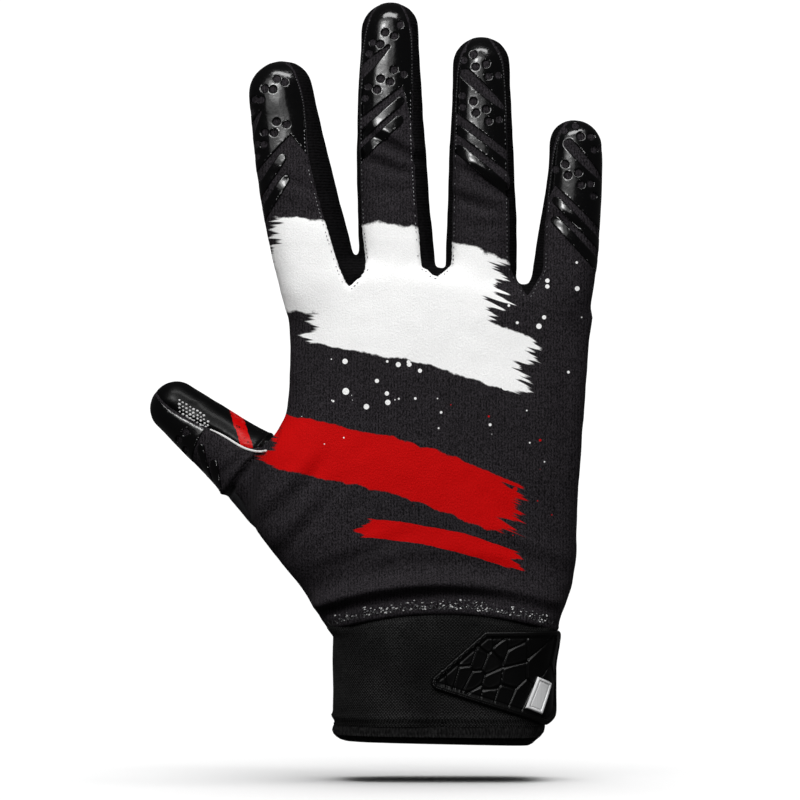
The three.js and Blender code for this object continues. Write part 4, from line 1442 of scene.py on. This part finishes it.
def badgePiece():
    bm = bmesh.new()
    bmesh.ops.create_grid(bm, x_segments=58, y_segments=104, size=0.5)
    bmesh.ops.scale(bm, vec=(badge["wide"], badge["high"], 1), verts=bm.verts)
    turn = math.radians(-badge["turn"])
    for v in bm.verts:
        x, y = v.co.x, v.co.y
        edge = min(badge["wide"] / 2 - abs(x), badge["high"] / 2 - abs(y))
        rounding = smooth(edge / 0.35)
        rim = (1 - smooth((edge - 0.75) / 0.3)) * badge["rim"]
        groove = 0.3 * math.exp(-((edge - 1.05) / 0.16) ** 2)
        out = tab["thick"] + 0.05 + mix(0.1, badge["thick"] - 0.25 + rim - groove, rounding)
        px = x * math.cos(turn) - y * math.sin(turn) + badge["x"]
        pz = x * math.sin(turn) + y * math.cos(turn) + badge["z"]
        v.co = cuffAt(quarter + px, out + standOff(px, pz))
        v.co.z = pz
    bmesh.ops.recalc_face_normals(bm, faces=bm.faces)
    bm.normal_update()
    first = next(iter(bm.faces))
    if first.normal.dot(Vector((first.calc_center_median().x, first.calc_center_median().y, 0))) < 0:
        bmesh.ops.reverse_faces(bm, faces=bm.faces)
    piece = finished("tab_badge_plate", bm, ["tab_badge"], material=badgeMaterial)
    thicken(piece, 0.7)


badgePiece()

strap = {"z": (10.9, 30.8), "start": -9, "reach": 46}


def strapPiece():
    bm = bmesh.new()
    end = float(np.interp(math.pi / 2, fineTurns, walk)) + strap["reach"] - 34
    long = end - strap["start"]
    bmesh.ops.create_grid(bm, x_segments=150, y_segments=60, size=0.5)
    bmesh.ops.scale(bm, vec=(long, strap["z"][1] - strap["z"][0], 1), verts=bm.verts)
    bmesh.ops.translate(bm, vec=(long / 2 + strap["start"], sum(strap["z"]) / 2, 0), verts=bm.verts)
    for v in bm.verts:
        x, z = v.co.x, v.co.y
        edge = min(z - strap["z"][0], strap["z"][1] - z, end - x)
        out = 0.3 + 0.75 * smooth(edge / 0.7) - 0.2 * math.exp(-((edge - 2.2) / 0.4) ** 2)
        out -= 0.5 * smooth((2 - x) / 6)
        v.co = cuffAt(x, out)
        v.co.z = z
    bmesh.ops.recalc_face_normals(bm, faces=bm.faces)
    bm.normal_update()
    first = next(iter(bm.faces))
    if first.normal.dot(Vector((first.calc_center_median().x, first.calc_center_median().y, 0))) < 0:
        bmesh.ops.reverse_faces(bm, faces=bm.faces)
    piece = finished("closure_strap_cloth", bm, ["closure_strap"], material=bandMaterial)
    thicken(piece, 0.6)


strapPiece()

# ------------------------------------------------------------------ threads and piping

stitch = {"long": 0.72, "thick": 0.34, "pitch": 1.25, "offset": 1.0}


def addStitch(bm, place, run, normal, long, thick):
    side = normal.cross(run).normalized()
    run = side.cross(normal).normalized()
    turn = Matrix((run, side, normal)).transposed().to_4x4()
    shape = Matrix.Diagonal((long / 2, thick / 2, thick / 2.6, 1))
    bmesh.ops.create_uvsphere(
        bm, u_segments=6, v_segments=4, radius=1, matrix=Matrix.Translation(place) @ turn @ shape,
    )


def stitchRow(bm, path, offset, pitch, long, thick, lift=0.1, turns=(0,), skip=0.0, patchy=0.0):
    # stitches along a path of (x, z) on the back of the glove, offset to its left
    path = [np.array(p) for p in path]
    done = 0.0
    walked = 0.0
    count = 0
    for a, b in zip(path, path[1:]):
        run = b - a
        length = float(np.linalg.norm(run))
        if length < 1e-6:
            continue
        run = run / length
        left = np.array((-run[1], run[0]))
        while done <= walked + length:
            spot = a + run * (done - walked) + left * offset
            place, normal = onSkin(spot[0], spot[1], lift)
            gaps = skip + patchy * noise.noise(Vector((spot[0] * 0.11, spot[1] * 0.11, 3)))
            if place is not None and abs(normal.y) > 0.2 and random.random() > gaps:
                turn = math.radians(turns[count % len(turns)] + random.uniform(-7, 7))
                way = Vector((run[0], 0, run[1]))
                way.rotate(Matrix.Rotation(turn, 3, "Y"))
                addStitch(bm, place, way, normal, long * random.uniform(0.6, 1.2), thick)
            count += 1
            done += pitch
        walked += length


print("sewing")
sewn, faint = bmesh.new(), bmesh.new()
# the brighter rows are sewn in the pale thread, partly painted glint
for i, path in enumerate(stripPaths):
    half = len(path) // 2
    for part, bright in ((path[16:half], i < 2), (path[half:-16], False)):
        stitchRow(
            sewn if bright else faint, part, -stitch["offset"], stitch["pitch"],
            stitch["long"], stitch["thick"], skip=0.35, patchy=0.9,
        )
finished("seam_stitches", sewn, [], material=paleThreadAndGlint)
finished("seam_stitches_faint", faint, [], material=faintThread)
hidden = bmesh.new()
for path in stripPaths:
    for end in (path[4:17], path[-17:-4]):
        stitchRow(hidden, end, -0.55, 0.95, 0.7, 0.34, skip=0.1)
finished("tip_stitches", hidden, [], material=darkThread)

cover = bmesh.new()
seamPath = [(x, wristSeamAt(x)) for x in np.linspace(-34.5, 34, 60)]
stitchRow(cover, seamPath, 2.3, 1.1, 1.9, 0.26, lift=0.02, turns=(58, -58))
finished("wrist_seam_thread", cover, [], material=darkThread)
specks, dimSpecks = bmesh.new(), bmesh.new()
# short loose-looking stitches, in a band along the wrist seam; two in five are near white, partly painted glint,
# and the others dim
for i in range(230):
    x = random.uniform(-33.5, 33)
    up = random.choice((2.1, 3.1, 4.2)) + random.uniform(-0.45, 0.45)
    place, normal = onSkin(x, wristSeamAt(x) + up, 0.14)
    if place is not None and normal.y < -0.3:
        way = Vector((1, 0, random.uniform(-0.9, 0.9)))
        size = random.uniform(0.35, 0.85)
        addStitch(specks if i % 5 < 2 else dimSpecks, place, way, normal, size, size * 0.62)
finished("wrist_seam_specks", specks, [], material=speckThreadAndGlint)
finished("wrist_seam_specks_dim", dimSpecks, [], material=faintThread)

piping = bmesh.new()
root, along, up, deep, reach = thumbAxes()
pipingPath = []
for i in range(40):
    share = mix(0.52, 0.745, i / 39)
    seam = curve(thumb["seam"], share)
    thick, broad = thumbHalves(share)
    aim = root + along * (share * reach) + up * seam
    place, normal = onSkin(aim.x, aim.z, 0.25)
    if place is not None:
        pipingPath.append((place, normal))
for _ in range(6):
    pipingPath = [pipingPath[0]] + [
        ((a[0] + b[0] * 2 + c[0]) / 4, b[1]) for a, b, c in zip(pipingPath, pipingPath[1:], pipingPath[2:])
    ] + [pipingPath[-1]]
rings = []
for i, (place, normal) in enumerate(pipingPath):
    before = pipingPath[max(0, i - 1)][0]
    after = pipingPath[min(len(pipingPath) - 1, i + 1)][0]
    run = (after - before).normalized()
    side = run.cross(normal).normalized()
    radius = 0.4 * mix(1, 0.6, smooth((i - 28) / 11))
    rings.append(ringAt(piping, place, side, side.cross(run), radius, radius, 2, 10))
loftRings(piping, rings)
bmesh.ops.recalc_face_normals(piping, faces=piping.faces)
finished("thumb_piping_cord", piping, ["thumb_piping"], material=whitePiping)

dots = bmesh.new()
# small raised dots on the thumb's palm side, in four short rows; their near-white colour is painted glint, as on
# shiny rims
for row, count in enumerate((8, 9, 9, 7)):
    for i in range(count):
        along, down = 1.32 * (i + row * 0.5), 1.0 * row
        x = -82.7 + along * 0.855 - down * 0.519 + random.uniform(-0.12, 0.12)
        z = 108.5 - along * 0.519 - down * 0.855 + random.uniform(-0.12, 0.12)
        place, normal = onSkin(x, z, 0.08)
        if place is not None:
            size = random.uniform(0.7, 1.15)
            addStitch(dots, place, Vector((0.855, 0, -0.519)), normal, size, size * 0.85)
finished("thumb_dots", dots, [], material=speckThreadAndGlint)
root, along, up, deep, reach = thumbAxes()
thumbSeamPath = []
for i in range(30):
    share = mix(0.755, 0.9, i / 29)
    spot = root + along * (share * reach) + up * (curve(thumb["seam"], share) + 0.5)
    thumbSeamPath.append((spot.x, spot.z))
thumbSewn = bmesh.new()
stitchRow(thumbSewn, thumbSeamPath[:20], 0, 0.95, 1.0, 0.5, lift=0.15, skip=0.08)
finished("thumb_stitches", thumbSewn, [], material=speckThreadAndGlint)

# ------------------------------------------------------------------ floor, light, camera

view = {
    "distance": 1.8,
    "x": -13.1 * mm,
    "z": 108.64 * mm,
    "high": 0.2513,  # the height of the frame at the glove
}
print("setting the stage")
floorMesh = bmesh.new()
bmesh.ops.create_grid(floorMesh, x_segments=2, y_segments=2, size=6)
bmesh.ops.translate(floorMesh, vec=(0, 0, -10.5 * mm), verts=floorMesh.verts)
mesh = bpy.data.meshes.new("floor")
floorMesh.to_mesh(mesh)
floorMesh.free()
floor = bpy.data.objects.new("floor", mesh)
bpy.context.collection.objects.link(floor)
white = Graph("floor_white")
mesh.materials.append(white.finish((0.92, 0.92, 0.92), 0.6, Specular_IOR_Level=0.1))
floor.visible_diffuse = False
floor.visible_glossy = False

world = bpy.data.worlds.new("studio")
bpy.context.scene.world = world
world.use_nodes = True
nodes, links = world.node_tree.nodes, world.node_tree.links
ray = nodes.new("ShaderNodeLightPath")
strength = nodes.new("ShaderNodeMapRange")  # white behind the glove, dim on it
strength.inputs["To Min"].default_value = 0.035
strength.inputs["To Max"].default_value = 1.1
links.new(ray.outputs["Is Camera Ray"], strength.inputs["Value"])
nodes["Background"].inputs[0].default_value = (1, 1, 1, 1)
links.new(strength.outputs[0], nodes["Background"].inputs[1])

floorOnly = bpy.data.collections.new("floor_only")
floorOnly.objects.link(floor)
# wide suns, upright and tilted to the front and the back, give the floor its soft shadow
for name, tilt, energy in (("overhead", 0, 2.5), ("overheadFront", -26, 0.72), ("overheadBack", 26, 0.72)):
    data = bpy.data.lights.new(name, "SUN")
    data.energy = energy
    data.angle = math.radians(50)
    overhead = bpy.data.objects.new(name, data)
    bpy.context.collection.objects.link(overhead)
    overhead.rotation_euler = (math.radians(tilt), 0, 0)
    overhead.light_linking.receiver_collection = floorOnly

lights = [
    # name, place, size, power, and whether it shows in glossy surfaces
    # the key is one soft box with a bright middle
    ("key", (-0.32, -0.86, 0.82), (0.22, 0.28), 3.8, True),
    ("keyMiddle", (-0.32, -0.86, 0.82), (0.5, 0.54), 4.4, True),
    ("keyRim", (-0.32, -0.86, 0.82), (0.95, 0.95), 3.0, True),
    ("fill", (0.6, -0.9, 0.35), (0.3, 0.5), 2.2, False),
    ("top", (0.0, -0.25, 0.95), (0.6, 0.2), 3.4, True),
    ("right", (0.8, -0.1, 0.3), (0.1, 0.6), 0.9, False),
    ("left", (-0.85, -0.05, 0.25), (0.1, 0.6), 0.7, False),
    ("behind", (0.25, 1.1, 0.55), (0.8, 0.8), 10.0, False),
]
gloveOnly = bpy.data.collections.new("glove_only")
for item in bpy.context.scene.objects:
    if item.type == "MESH" and item is not floor:
        gloveOnly.objects.link(item)
aim = Vector((0, 0, 0.12))
for name, place, size, power, glossy in lights:
    data = bpy.data.lights.new(name, "AREA")
    data.shape = "RECTANGLE"
    data.size, data.size_y = size
    data.energy = power
    lamp = bpy.data.objects.new(name, data)
    bpy.context.collection.objects.link(lamp)
    lamp.light_linking.receiver_collection = gloveOnly
    lamp.visible_glossy = glossy
    lamp.location = place
    lamp.rotation_euler = (aim - Vector(place)).to_track_quat("-Z", "Y").to_euler()

lens = bpy.data.cameras.new("camera")
camera = bpy.data.objects.new("camera", lens)
bpy.context.collection.objects.link(camera)
camera.location = (view["x"], -view["distance"], view["z"])
camera.rotation_euler = (math.pi / 2, 0, 0)
lens.sensor_width = 36
lens.lens = 36 * view["distance"] / view["high"]
lens.clip_start = 0.05
bpy.context.scene.camera = camera
bpy.context.scene.view_settings.view_transform = "Standard"

print("done")
